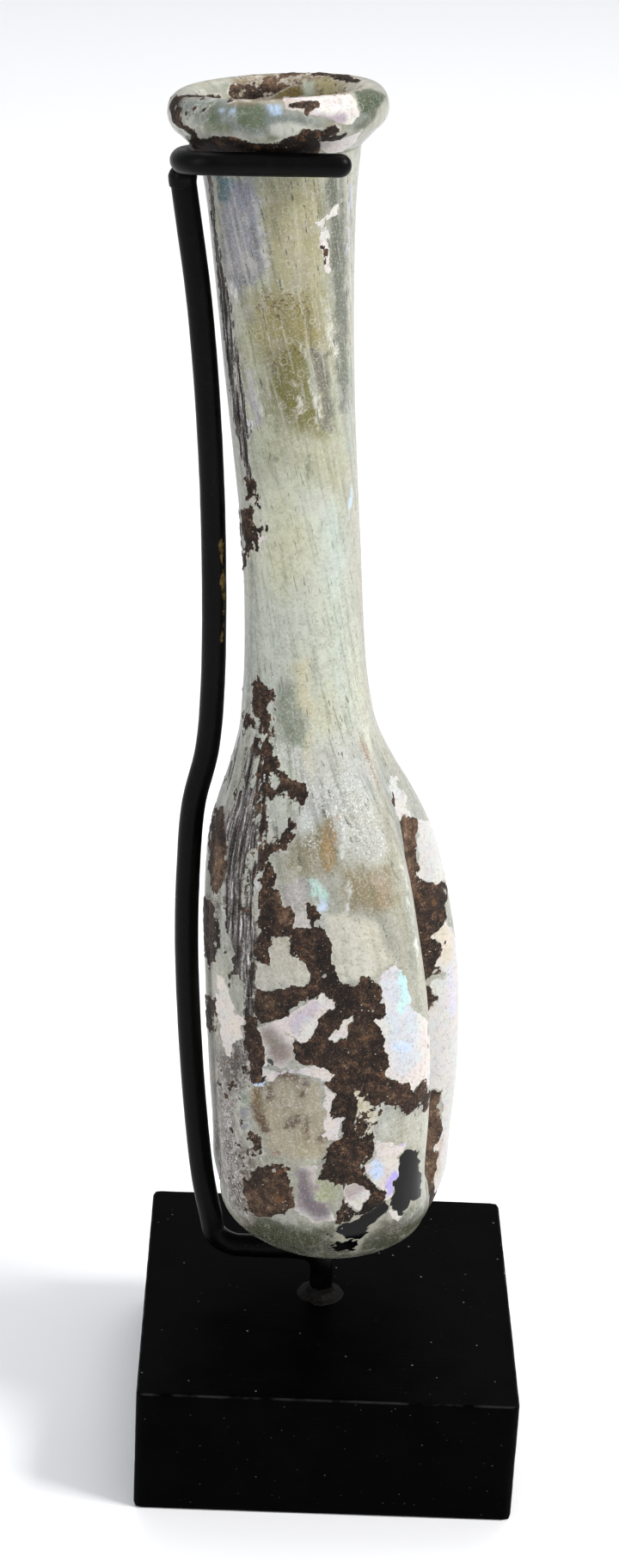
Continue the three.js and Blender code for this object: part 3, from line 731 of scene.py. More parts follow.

# Tints of the film, some of them painted light and shade: colour, cover, softness in millimetres, shapes
TINTS = [
    ((170, 173, 150), 0.84, 1.0, [[(322, 205, 60), (330, 380, 60), (340, 540, 60)]]),
    ((158, 155, 124), 0.92, 1.0, [[(300, 205), (372, 205), (374, 300), (378, 400), (296, 400), (312, 330)]]),
    ((172, 172, 144), 0.92, 2.6, [[(296, 480), (396, 480), (400, 570), (372, 610), (316, 590)]]),
    ((140, 132, 88), 0.94, 2.2, [[(296, 345), (376, 340), (378, 400), (372, 410), (300, 410), (290, 380)]]),
    ((106, 102, 48), 0.97, 1.6, [[(300, 405), (352, 402), (368, 470), (376, 500), (345, 505), (322, 490),
        (308, 440)]]),
    ((168, 165, 130), 0.9, 0.8, [[(346, 210, 8), (350, 260, 8), (345, 310, 6)]]),
    ((132, 133, 142), 0.92, 0.7, [[(262, 206), (296, 206), (306, 320), (290, 335), (276, 345), (262, 320),
        (256, 260)]]),
    ((164, 162, 164), 0.92, 0.4, [[(286, 300, 6), (294, 318, 5)], [(256, 260, 2.5), (262, 320, 3), (269, 352, 5)]]),
    ((182, 180, 176), 0.92, 0.3, [[(299, 232, 2.5), (304, 262, 2.5), (310, 300, 2), (314, 330, 1.5)]]),
    ((78, 106, 114), 0.92, 0.5, [[(252, 206), (272, 206), (266, 226), (261, 248), (255, 236)]]),
    ((128, 126, 112), 0.9, 0.8, [[(281, 355, 6), (288, 372, 7)], [(276, 400, 6), (282, 430, 7), (284, 460, 4)]]),
    ((172, 168, 168), 0.9, 0.4, [[(290, 436, 4), (294, 465, 6), (300, 495, 6)], [(285, 495, 5), (288, 512, 4)]]),
    ((100, 105, 94), 0.9, 0.8, [[(391, 212, 15), (396, 300, 16), (402, 400, 14), (404, 470, 10)]]),
    ((112, 109, 96), 0.9, 0.5, [[(362, 405), (382, 410), (386, 470), (382, 500), (374, 480), (366, 440)]]),
    ((174, 178, 194), 0.85, 0.4, [[(411, 215, 3), (410, 260, 4), (407, 290, 3)]]),
    ((160, 172, 160), 0.8, 0.5, [[(408, 400, 4), (410, 450, 4), (410, 520, 4)]]),
    ((186, 208, 228), 0.9, 0.25, [[(413, 560, 3), (411, 585, 4), (409, 600, 3)]]),
    ((202, 206, 190), 0.8, 2.4, [[(345, 622, 60), (352, 690, 62), (360, 800, 70), (370, 870, 80)]]),
    ((200, 203, 178), 0.84, 1.6, [[(330, 560, 14), (335, 620, 18), (325, 690, 10)], [(372, 820, 12),
        (380, 850, 12)]]),
    ((192, 202, 190), 0.84, 1.2, [[(384, 600, 10), (390, 690, 12), (398, 780, 12), (410, 840, 10)]]),
    ((150, 158, 150), 0.8, 0.7, [[(290, 660, 4), (289, 740, 6), (288, 800, 6), (276, 860, 6)]]),
    ((196, 190, 158), 0.9, 1.0, [[(352, 775, 8), (355, 815, 9), (358, 860, 7), (362, 900, 5)]]),
    ((132, 140, 122), 0.9, 1.0, [[(326, 800), (340, 795), (348, 830), (356, 840), (350, 872), (330, 868),
        (322, 840)]]),
    ((192, 194, 184), 0.9, 0.8, [[(322, 870), (348, 872), (362, 905), (372, 950), (360, 1000), (346, 960),
        (356, 915)]]),
    ((188, 190, 182), 0.86, 1.4, [[(400, 880, 34), (415, 940, 38), (430, 990, 28)]]),
    # Painted shade: a darker grey-green band down the front side of the body's right ridge
    ((150, 154, 144), 0.88, 0.8, [[(446, 880, 6), (456, 930, 7), (468, 990, 8), (478, 1060, 8), (486, 1140, 7),
        (494, 1220, 5)]]),
    ((138, 128, 100), 0.9, 1.3, [[(395, 1008), (455, 1005), (462, 1050), (440, 1068), (408, 1060), (396, 1040)]]),
    ((136, 129, 104), 0.9, 1.2, [[(338, 985), (372, 960), (392, 990), (392, 1018), (360, 1025), (330, 1010)]]),
    ((150, 124, 80), 0.93, 0.6, [[(383, 948), (389, 952), (390, 985), (389, 1008), (386, 1016), (380, 1012),
        (374, 990), (376, 968)]]),
    ((156, 134, 104), 0.9, 1.2, [[(442, 1024, 7), (448, 1050, 7)]]),
    ((206, 202, 184), 0.9, 0.7, [[(382, 1062), (440, 1072), (452, 1100), (458, 1118), (440, 1135), (425, 1140),
        (395, 1142), (388, 1130), (384, 1100)]]),
    ((186, 182, 168), 0.94, 0.3, [[(318, 1096), (334, 1090), (337, 1108), (350, 1117), (361, 1125), (361, 1144),
        (350, 1148), (300, 1151), (300, 1121), (311, 1120), (312, 1104)]]),
    ((158, 155, 152), 0.92, 0.4, [[(322, 1035), (350, 1022), (366, 1030), (356, 1056), (345, 1062), (335, 1055)]]),
    ((172, 206, 194), 0.96, 0.35, [[(361, 1024), (372, 1024), (380, 1036), (381, 1046), (372, 1050), (364, 1040)]]),
    ((190, 206, 222), 0.96, 0.35, [[(368, 1046), (381, 1047), (378, 1060), (372, 1058)]]),
    ((184, 178, 178), 0.92, 0.3, [[(344, 1064), (356, 1058), (362, 1078), (343, 1079)]]),
    ((160, 150, 126), 0.95, 0.45, [[(310, 1258), (322, 1258), (332, 1252), (352, 1256), (372, 1258), (378, 1280),
        (376, 1310), (386, 1332), (376, 1345), (366, 1350), (345, 1345), (325, 1345), (312, 1335), (305, 1310)]]),
    ((142, 132, 106), 0.95, 0.6, [[(318, 1262, 5), (330, 1260, 5), (344, 1262, 4)], [(352, 1322, 6)]]),
    ((112, 86, 40), 0.95, 0.5, [[(290, 1268), (307, 1262), (311, 1300), (304, 1316), (296, 1300), (290, 1285)]]),
    ((112, 140, 124), 0.95, 0.35, [[(275, 1272), (285, 1267), (288, 1285), (280, 1290)]]),
    ((128, 128, 140), 0.92, 0.4, [[(278, 1292), (290, 1290), (292, 1312), (284, 1318)]]),
    ((148, 150, 138), 0.93, 0.6, [[(300, 1345), (312, 1338), (330, 1348), (300, 1352)]]),
    ((94, 74, 56), 0.95, 0.35, [[(318, 1256, 6), (330, 1253, 7), (342, 1256, 6)], [(313, 1262, 6), (315, 1276, 6)],
        [(356, 1261, 6)], [(350, 1274, 5)], [(345, 1301, 5)], [(336, 1312, 5), (344, 1308, 5)], [(356, 1304, 5),
        (355, 1326, 6)], [(369, 1327, 5), (379, 1322, 5)], [(296, 1290, 6), (304, 1306, 7), (308, 1314, 6)]]),
    ((128, 112, 134), 0.95, 0.3, [[(357, 1303, 3)], [(356, 1262, 3)], [(322, 1252, 3)]]),
    ((124, 84, 52), 0.95, 0.3, [[(320, 1345, 2)]]),
    ((196, 182, 140), 0.97, 0.4, [[(420, 1276, 8), (424, 1296, 11), (424, 1318, 9)]]),
    ((206, 206, 186), 0.95, 0.25, [[(308, 1262, 0.8), (311, 1290, 1), (314, 1306, 0.8)]]),
    ((178, 178, 164), 0.94, 0.4, [[(436, 1296), (462, 1297), (484, 1297), (498, 1292), (500, 1345), (488, 1340),
        (470, 1330), (445, 1328), (435, 1322)]]),
    ((88, 92, 70), 0.6, 0.7, [[(292, 1412), (330, 1424), (375, 1426), (392, 1430), (378, 1440), (412, 1460),
        (340, 1462), (282, 1430)], [(424, 1440), (446, 1422), (470, 1416), (492, 1400), (496, 1420), (460, 1452),
        (418, 1460)]]),
    ((160, 164, 134), 0.92, 0.35, [[(373, 1372), (388, 1377), (396, 1385), (390, 1397), (368, 1397), (367, 1380)]]),
    ((112, 118, 100), 0.92, 0.25, [[(302, 425, 0.8), (312, 470, 1.2), (325, 520, 1), (333, 545, 0.8)],
        [(352, 500, 0.8), (360, 545, 1.2), (368, 568, 0.8)], [(324, 540, 3), (318, 536, 3)]]),
    ((206, 204, 190), 0.92, 0.2, [[(286, 392, 1), (296, 440, 2), (305, 480, 2), (310, 498, 1)], [(354, 396, 0.8),
        (364, 450, 1.2), (374, 496, 1)], [(341, 444, 0.8), (349, 470, 1.2), (357, 505, 1.2)], [(384, 360, 1.5),
        (388, 385, 2.5), (391, 412, 3)]]),
    ((214, 214, 216), 0.92, 0.2, [[(268, 336, 3.5), (270, 350, 4)], [(285, 492, 4), (290, 500, 3)]]),
    ((98, 90, 84), 0.92, 0.8, [[(254, 1190), (300, 1186), (300, 1240), (286, 1262), (274, 1270), (272, 1312),
        (288, 1330), (302, 1352), (304, 1412), (288, 1426), (268, 1404), (254, 1372), (251, 1290)]]),
    ((64, 57, 57), 0.95, 0.5, [[(266, 1216), (286, 1212), (290, 1256), (276, 1270), (266, 1258)]]),
    ((146, 142, 138), 0.92, 0.4, [[(256, 1192), (272, 1190), (268, 1226), (256, 1220)], [(259, 1280, 3),
        (262, 1320, 3)], [(268, 1345, 2.5), (272, 1375, 2)], [(280, 1268, 2), (276, 1310, 2)]]),
    ((80, 66, 54), 0.95, 0.7, [[(290, 1340, 6), (286, 1370, 7), (288, 1402, 7)], [(266, 1286, 4), (270, 1312, 4)]]),
    ((58, 47, 40), 0.97, 0.35, [[(249, 938), (262, 940), (264, 990), (261, 1020), (256, 1046), (246, 1034),
        (241, 995), (245, 960)], [(235, 1040), (256, 1050), (255, 1082), (252, 1112), (248, 1132), (243, 1122),
        (237, 1105), (235, 1070)]]),
    ((24, 19, 16), 0.97, 0.35, [[(240, 1158), (252, 1160), (253, 1196), (246, 1210), (240, 1190)], [(246, 1068, 7),
        (247, 1105, 5)]]),
    ((84, 78, 74), 0.95, 0.4, [[(246, 1205, 6), (248, 1228, 4)], [(247, 1300, 4), (249, 1325, 5), (250, 1350, 4)]]),
    ((186, 158, 124), 0.95, 0.3, [[(244, 1240, 4), (245, 1256, 4)], [(247, 1282, 3)]]),
    ((152, 134, 118), 0.92, 0.5, [[(424, 860, 3), (431, 880, 5), (437, 900, 5), (443, 920, 3)]]),
    # Painted highlights: light hairlines down three ridges of the body
    ((224, 228, 224), 0.94, 0.25, [[(455, 950, 1), (461, 975, 1.6), (471, 1010, 1.6), (478, 1043, 1.6),
        (484, 1082, 1.6), (490, 1138, 1.4)], [(303, 872, 1.2), (306, 930, 1.5), (300, 1000, 1.5), (290, 1060, 1.2)],
        [(398, 940, 0.8), (402, 1000, 1), (406, 1060, 0.8)]]),
    ((128, 136, 128), 0.8, 0.5, [[(200, 128, 12), (262, 136, 18), (300, 140, 18), (330, 145, 12), (430, 136, 10)]]),
    ((98, 109, 86), 0.92, 0.3, [[(277, 120), (285, 113), (300, 116), (308, 126), (309, 148), (296, 152), (280, 148),
        (274, 138)], [(243, 120), (252, 122), (255, 138), (248, 147), (241, 138)]]),
    ((68, 80, 60), 0.94, 0.25, [[(411, 106), (422, 102), (440, 106), (449, 112), (442, 124), (430, 132), (420, 130),
        (414, 116)]]),
    ((118, 124, 98), 0.85, 0.4, [[(316, 158, 6), (340, 154, 5)], [(262, 150, 5), (238, 148, 5)]]),
    # Painted reflections: small blue glints on the front of the lip
    ((176, 196, 216), 0.95, 0.25, [[(256, 130, 3)], [(268, 130, 3)], [(311, 122), (326, 124), (328, 132),
        (316, 134)]]),
    ((192, 192, 178), 0.9, 0.3, [[(312, 146), (340, 142), (362, 146), (350, 156), (330, 160), (314, 156)]]),
    ((124, 108, 82), 0.95, 0.35, [[(268, 92), (300, 86), (396, 84), (420, 92), (404, 116), (268, 122)]]),
    ((112, 96, 50), 0.95, 0.3, [[(322, 104), (340, 100), (352, 100), (354, 113), (322, 114)]]),
    ((184, 190, 168), 0.85, 0.4, [[(353, 94), (368, 94), (366, 112), (355, 113)]]),
    ((176, 166, 124), 0.95, 0.4, [[(368, 92), (396, 92), (400, 108), (380, 111), (368, 111)]]),
    ((214, 205, 182), 0.92, 0.4, [[(396, 94), (420, 92), (436, 98), (420, 104), (402, 108)]]),
    ((156, 160, 148), 0.85, 0.4, [[(212, 110), (240, 100), (268, 94), (272, 106), (250, 110)]]),
    ((150, 144, 130), 0.85, 0.6, [[(398, 146, 9), (384, 152, 6)]]),
    ((92, 98, 84), 0.9, 0.5, [[(438, 128, 6), (430, 142, 7), (418, 150, 5)]]),
]

# Tints on the unseen sides: colour, noise level where they start, seed
FAR_TINTS = [
    ((200, 196, 178), 0.02, 81),
    ((142, 138, 112), 0.12, 83),
    ((158, 162, 158), 0.1, 85),
    ((140, 118, 88), 0.24, 87),
]

# Tints of the pearly film, and of the reflection painted on the lip: colour, softness in millimetres, shapes
SHEENS = [
    ((202, 207, 211), 0.8, {"right": [(460, 1140, 16), (470, 1180, 20), (474, 1230, 22)]}),
    ((216, 210, 198), 0.4, {"cream": [(262, 1150, 12), (270, 1200, 12)]}),
    ((134, 122, 114), 1.1, {"pink": [(312, 1205, 10), (326, 1225, 16)]}),
    ((190, 182, 190), 0.6, {"lilac": [(345, 1190, 12), (362, 1172, 8)], "more": [(320, 1250, 6), (345, 1249, 6)]}),
    ((190, 224, 224), 0.4, {"aqua": [(470, 1135, 7), (474, 1155, 7), (470, 1175, 6)]}),
    ((196, 214, 240), 0.3, {"blue": [(462, 1218, 5), (474, 1218, 8)], "low": [(434, 1352, 6), (438, 1366, 8)]}),
    ((176, 166, 232), 0.3, {"violet": [(457, 1372, 4), (455, 1390, 4)], "top": [(466, 1334, 3)]}),
    ((170, 202, 240), 0.3, {"blue": [(294, 1259, 6), (302, 1261, 6)]}),
    ((110, 102, 106), 1.3, {"foot": [(352, 1370, 12), (354, 1395, 15), (372, 1408, 15)]}),
    ((176, 168, 166), 0.4, {"drop": [(408, 1386, 12)]}),
    ((200, 199, 195), 0.6, {"rear": [(480, 900, 60), (500, 1000, 60), (510, 1200, 60), (510, 1380, 60)]}),
    ((206, 196, 178), 0.6, {"rear": [(516, 1080, 12), (520, 1110, 14)]}),
    ((202, 200, 212), 0.6, {"rear": [(526, 1135, 8), (528, 1180, 6)]}),
    ((190, 174, 160), 0.6, {"rear": [(514, 1330, 6), (510, 1370, 6)]}),
    # Colours of the reflection painted on the front of the lip
    ((190, 178, 170), 0.3, {"lip": [(340, 118, 10), (356, 126, 8)]}),
    ((172, 158, 166), 0.3, {"lip": [(360, 137, 4), (385, 138, 4), (400, 136, 4)]}),
]

# Rustier crust, brown specks, and where the painted glints lie thickest
RUSTY = [
    [(318, 1392, 22), (300, 1400, 16)], [(252, 955, 14), (254, 1000, 14), (252, 1030, 10)],
    [(328, 1062, 12), (322, 1050, 8)], [(418, 1202, 7), (432, 1208, 5)], [(455, 1276, 5)], [(330, 905, 6)],
    [(330, 176, 4)], [(310, 1164, 8)], [(380, 300, 6)], [(312, 98, 10), (330, 94, 10), (350, 90, 8)],
]
REAR_RUSTY = [
    [(476, 955, 14), (476, 1000, 14), (480, 1040, 12)], [(508, 1290, 14), (502, 1370, 14)],
]
SPECKLED = [
    [(310, 350, 16), (340, 360, 20), (350, 350, 16)], [(320, 420, 12), (345, 415, 10)],
    [(380, 100, 16), (404, 100, 12)], [(340, 96, 14)], [(312, 532, 8)],
    [(268, 1230, 12), (262, 1290, 14), (268, 1350, 16), (282, 1400, 14)], [(300, 100, 24)],
]
GLINT_AREAS = [
    [(322, 872, 8), (345, 880, 8), (365, 920, 9), (382, 940, 9)], [(358, 950, 8), (362, 980, 8)], [(312, 790, 9)],
    [(430, 880, 6), (436, 905, 6)], [(400, 930, 30), (430, 980, 24)],
    [(262, 1290, 12), (266, 1350, 14), (276, 1390, 12)], [(388, 360, 3), (391, 392, 4), (395, 415, 5)],
    [(320, 835, 4), (321, 870, 4)], [(300, 960, 16), (280, 1010, 14)],
]

GUIDE_COLUMNS, GUIDE_STEP = 240, 0.5
whole = np.array(outer_profile() + lip_profile() + inner_profile(low=WEATHERED_INSIDE))
guide_rows = off_axis(resample(whole, GUIDE_STEP))
guide_grid = turned(guide_rows, GUIDE_COLUMNS)
guide = Canvas(guide_grid.reshape(-1, 3), grid_normals(guide_grid).reshape(-1, 3),
               turns(len(guide_rows), GUIDE_COLUMNS), np.repeat(guide_rows[:, 1], GUIDE_COLUMNS))

# Streaks run on a cylinder of one radius, straight up or leaning by an angle in degrees
STREAK_RADIUS, STREAK_LEAN = 12, 9
LEAN_HEIGHTS = np.linspace(0, NECK_TOP + 10, 400)
LEAN_TURNS = np.cumsum(math.tan(math.radians(STREAK_LEAN)) * (LEAN_HEIGHTS[1] - LEAN_HEIGHTS[0])
                       / np.maximum(outside_radius(LEAN_HEIGHTS), 7.0))
# Noise levels above which crust and pearly film lie on the unseen sides, and how much rarer on the neck
FAR_CRUST, FAR_PEARL, FAR_NECK = 0.17, 0.14, 0.20
BASE_TINT, BASE_SHEEN = (182, 182, 168), (212, 206, 200)


def lay(colours, rgb, share):
    """Colours with a screen tone laid over them by a share at each point."""
    return colours + (np.array(tone(*rgb)) - colours) * share[:, None]


def paint(points, normals, turn, height):
    """Masks and colours of the weathering and of the shade and highlights painted with it, at each skin
    point, distances in millimetres.
    """
    around = np.radians(turn)
    upright, leaning = (
        np.stack([STREAK_RADIUS * np.sin(a), STREAK_RADIUS * np.cos(a), height], axis=1)
        for a in (around, around + np.interp(height, LEAN_HEIGHTS, LEAN_TURNS)))
    canvas = Canvas(points, normals, turn, height, guide)
    lip = smooth(*LIP_FADE, height)
    neck = smooth(60, 85, height) * (1 - smooth(140, 147, height))

    # Ragged edges, from fine to coarse
    ragged = 0.14 * fractal(points, 1.1, 3, 11) + 0.08 * noise(points, 0.5, 13)
    frayed = 0.42 * fractal(points, 2.2, 3, 29) + ragged
    jagged = 0.45 * fractal(points, 1.7, 4, 37) + ragged * 0.6
    coarse = 0.9 * fractal(points, 4.5, 3, 17)
    combed = fractal(tall(upright, 0.08), 0.8, 4, 59) + 0.25 * fractal(points, 1.6, 3, 63)
    flaky = fractal(tall(points, 0.6), 1.5, 3, 19)
    crumbly = fractal(points, 0.8, 3, 91)

    # Sides that the photo doesn't show
    unseen = (canvas.cosine + 0.25) * 8 - 0.6 * coarse
    loose = tall(canvas.points, 0.6)
    far_crust = np.maximum(5 * (FAR_CRUST + FAR_NECK * neck - fractal(loose, 8.0, 4, 61)), unseen)
    far_pearl = np.maximum(5 * (FAR_PEARL + FAR_NECK * neck - fractal(loose, 9.0, 4, 67)), unseen)

    mottled = np.maximum(canvas.area(MOTTLED), 0.10 - flaky)
    brown = np.minimum(canvas.area(BROWN_CRUST) - 0.05 + jagged, mottled)
    brown = np.maximum(brown, -np.maximum(canvas.area(PITTED) + frayed, 0.6 * (0.02 - crumbly)))
    brown = np.minimum(brown, np.maximum(canvas.area(FRECKLED) + frayed, 0.6 * (0.33 - crumbly)))
    brown = np.minimum(brown, np.maximum(canvas.area(BROWN_COMBED) + frayed, -0.02 - combed))
    grey = np.minimum(canvas.area(GREY_CRUST) + ragged * 2, np.maximum(canvas.area(COMBED) + frayed, 0.02 - combed))
    bare = canvas.area(BARE) + ragged * 0.5
    dark = canvas.area(SHADED_WINDOWS) + ragged * 0.4
    away = np.minimum(bare, dark)
    pearl = np.minimum(canvas.area(PEARL) + frayed * 0.8, far_pearl)
    crust = np.minimum(-np.minimum(np.minimum(brown, grey), far_crust), canvas.area(CRUST_GAPS) + ragged * 0.8)

    tint = np.tile(np.array(tone(*BASE_TINT)), (len(points), 1))
    veil = 0.72 + 0.10 * fractal(points, 7.0, 3, 23)
    for colour, at, seed in FAR_TINTS:
        w = smooth(0.5, -0.5, unseen) * smooth(at, at + 0.14, fractal(loose, 10.0, 4, seed))
        tint = lay(tint, colour, w)
        veil += (0.9 - veil) * w
    for colour, cover, soft, shapes in TINTS:
        spill = frayed * (1 - 0.6 * lip) + min(soft, 1.2) * coarse * (1 - lip)
        w = smooth(soft, -soft, canvas.area(shapes) + spill)
        tint = lay(tint, colour, w)
        veil += (cover - veil) * w
    warm = fractal(tall(points, 0.5), 8.0, 3, 53)[:, None]
    tint = np.clip(tint * (1 + warm * np.array([[0.10, 0.03, -0.14]])), 0, 1)
    sheen = np.tile(np.array(tone(*BASE_SHEEN)), (len(points), 1))
    for colour, soft, shapes in SHEENS:
        side = "rear" if "rear" in shapes else None
        sheen = lay(sheen, colour, smooth(soft, -soft, canvas.area(shapes, side) + frayed))

    streaky = (0.35 + 0.65 * smooth(52, 74, height)) * (1 - 0.45 * smooth(74, 86, height) * smooth(124, 112, height))
    grainy = (0.35 + 0.65 * smooth(4, 14, height)) * (1 - 0.5 * smooth(85, 110, height))
    return {
        "upright": upright, "leaning": leaning, "crust": np.minimum(crust, away),
        "pearl": np.minimum(-pearl, away), "bare": -bare, "dark": -dark,
        "dull": smooth(-0.3, 0.5, np.minimum(brown, far_crust) - grey),
        "rust": np.maximum(canvas.near(RUSTY, 0.8), canvas.near(REAR_RUSTY, 0.8, "rear")),
        # near-black over the crust, painted shade under the lip and at the foot
        "deep": smooth(0.5, -0.5, canvas.area(SHADE_AND_DARK_SPOTS) + frayed),
        "veil": np.clip(veil, 0, 1), "tint": tint, "sheen": sheen,
        "combed": streaky * (1 - 0.7 * lip), "grainy": grainy * (1 - 0.75 * lip),
        "speckled": canvas.near(SPECKLED, 0.8), "glint_areas": canvas.near(GLINT_AREAS, 0.6),
    }


# Weathering with painted shade and highlights, one material on two sheets

look = Look("weathering")
tiny = look.noise(0.16, 2.0, rough=0.6)
fine = look.noise(0.32, 4.0, rough=0.65)
mid = look.noise(1.1, 4.0, rough=0.62)
wide = look.noise(4.0, 3.0)
slant = look.noise(1.0, 4.0, stretch=(1, 1, 9), way="leaning", rough=0.6)
streak = look.noise(0.36, 4.0, stretch=(1, 1, 14), way="upright", rough=0.7)
marks = look.noise(0.56, 2.0, stretch=(1, 1, 3.6), way="leaning", rough=0.5)
fray = look.centred(look.blend(0.4, fine, mid), 0.9)
crust_mask, pearl_mask, bare_mask = (
    look.step(look.plus(look.read(name), fray), -0.03, high)
    for name, high in (("crust", 0.03), ("pearl", 0.04), ("bare", 0.04)))
# Mask of the windows painted near-black for the shaded hollow behind them
hollow_shade_mask = look.step(look.read("dark"), -0.05, 0.05)

# Crust
grain = look.blend(0.45, mid, fine)
brown = look.ramp(grain, [(0.34, (15, 12, 10)), (0.45, (36, 26, 21)), (0.54, (64, 47, 37)), (0.62, (104, 80, 60)),
                          (0.72, (164, 136, 104))])
rusty = look.ramp(grain, [(0.32, (32, 24, 19)), (0.46, (74, 56, 44)), (0.56, (110, 87, 68)), (0.70, (166, 144, 120))])
dull = look.ramp(look.blend(0.25, streak, fine), [
    (0.38, (16, 13, 12)), (0.45, (50, 45, 42)), (0.51, (92, 88, 86)), (0.56, (142, 139, 135)),
    (0.62, (222, 220, 218))])
crust = look.mix(look.read("rust"), brown, rusty)
# Darker crust at random, and painted shade under the lip and at the foot where the deep attribute says
crust = look.coat(crust, (14, 11, 10), look.most(look.times(look.step(wide, 0.46, 0.58), 0.45),
                                                 look.times(look.read("deep"), 0.75)))
crust = look.coat(crust, (120, 82, 54), look.step(look.noise(2.0, 4.0, rough=0.7), 0.60, 0.68), 0.5)
crust = look.mix(look.read("dull"), crust, dull)
crust = look.coat(crust, (190, 172, 148), look.step(tiny, 0.66, 0.72), 0.6)
pits = look.times(look.step(look.cells(0.75), 0.16, 0.10), look.step(look.noise(3.2, 3.0), 0.50, 0.60))
crust = look.coat(crust, (202, 190, 168), pits, 0.75)

# Clearer film
strong, grainy = look.read("combed"), look.times(look.read("grainy"), 0.42)
dots = look.step(look.cells(0.9), 0.10, 0.06)
specks = look.times(look.step(look.noise(0.55, 3.0, rough=0.6), 0.56, 0.63), look.read("speckled"))
rings = look.math("ABSOLUTE", look.math("SUBTRACT", look.cells(2.6), 0.20))
film = look.read("tint", colour=True)
for rgb, mask, strength in (
    ((200, 200, 194), look.step(slant, 0.52, 0.66), look.times(strong, 0.36)),
    ((88, 88, 72), look.step(slant, 0.47, 0.34), look.times(strong, 0.42)),
    ((120, 112, 92), look.step(mid, 0.56, 0.40), 0.20),
    ((186, 178, 176), look.step(wide, 0.52, 0.66), 0.22),
    ((84, 86, 74), look.step(marks, 0.645, 0.70), look.times(strong, 0.9)),
    ((104, 94, 76), look.step(fine, 0.54, 0.66), grainy),
    ((214, 213, 204), look.step(fine, 0.46, 0.34), grainy),
    ((86, 60, 32), specks, 0.8),
    ((64, 54, 44), dots, 0.6),
    ((206, 204, 190), look.step(rings, 0.030, 0.012), 0.30),
):
    film = look.coat(film, rgb, mask, strength)

# Pearly film, which also carries the reflection painted on the lip
hue = look.ramp(look.noise(2.6, 3.0), [
    (0.36, (1.0, 0.99, 0.96)), (0.46, (1.0, 0.95, 0.97)), (0.52, (0.94, 0.94, 1.0)), (0.58, (0.93, 0.99, 0.99)),
    (0.66, (1.0, 1.0, 0.97))], screen=False)
pearly = look.node("Mix", {0: 1.0}, data_type="RGBA", blend_type="MULTIPLY")
look.put(pearly.inputs[6], look.read("sheen", colour=True))
look.put(pearly.inputs[7], hue)
pearly = pearly.outputs[2]
crinkle = look.math("ABSOLUTE", look.math("SUBTRACT", look.noise(1.6, 4.0, rough=0.6), 0.5))
for rgb, mask, strength in (
    ((140, 128, 114), look.step(mid, 0.56, 0.70), 0.34),
    ((120, 110, 102), look.step(fine, 0.54, 0.66), 0.40),
    ((110, 98, 88), look.step(crinkle, 0.014, 0.003), 0.35),
    ((84, 70, 60), dots, 0.5),
):
    pearly = look.coat(pearly, rgb, mask, strength)

# All together
# Painted highlights: small white glints laid into the colour, faint all over, more on streaky film and most in the
# glint areas
glints = look.step(look.noise(0.24, 2.0, rough=0.6), 0.56, 0.64)
colour = look.coat(look.mix(pearl_mask, film, pearly), (228, 228, 230), glints,
                   look.blend(look.read("glint_areas"), look.blend(strong, 0.14, 0.24), 0.85))
rim = look.times(look.step(look.read("crust"), -0.34, -0.06), look.step(mid, 0.40, 0.60))
colour = look.coat(colour, (216, 212, 204), rim, 0.55)
colour = look.mix(crust_mask, colour, crust)
# Painted shade: opaque near-black in the windows, for the shaded hollow seen through the clear glass
colour = look.mix(hollow_shade_mask, colour, look.ramp(wide, [(0.40, (3, 3, 4)), (0.62, (15, 15, 16))]))
veil = look.plus(look.read("veil"), look.centred(slant, 0.3), clamp=True)
veil = look.times(look.blend(pearl_mask, veil, 0.98), look.math("SUBTRACT", 1.0, bare_mask))
rough = look.blend(pearl_mask, look.blend(look.read("grainy"), 0.10, 0.30), 0.36)
rough = look.blend(hollow_shade_mask, look.blend(crust_mask, rough, 0.66), 0.10)
height = look.plus(look.times(fine, look.blend(crust_mask, look.times(grainy, 0.5), 1.0)),
                   look.times(slant, look.blend(crust_mask, 0.4, 0.2)))
weathering = look.surface(
    Base_Color=colour, Roughness=rough, Alpha=look.most(look.most(veil, crust_mask), hollow_shade_mask),
    Specular_IOR_Level=0.2, Normal=look.bump(height, 0.10))

# Sheets of weathering and the glass shell

BODY_COLUMNS, BODY_STEP, NECK_COLUMNS, NECK_STEP = 336, 0.32, 216, 0.27
GLASS_COLUMNS, GLASS_STEP, DEPOSIT_STEP = 176, 0.75, 0.55
# Rows at the end of the neck's sheet, inside the lip, that lie flat on the glass
FLAT_ROWS = 36


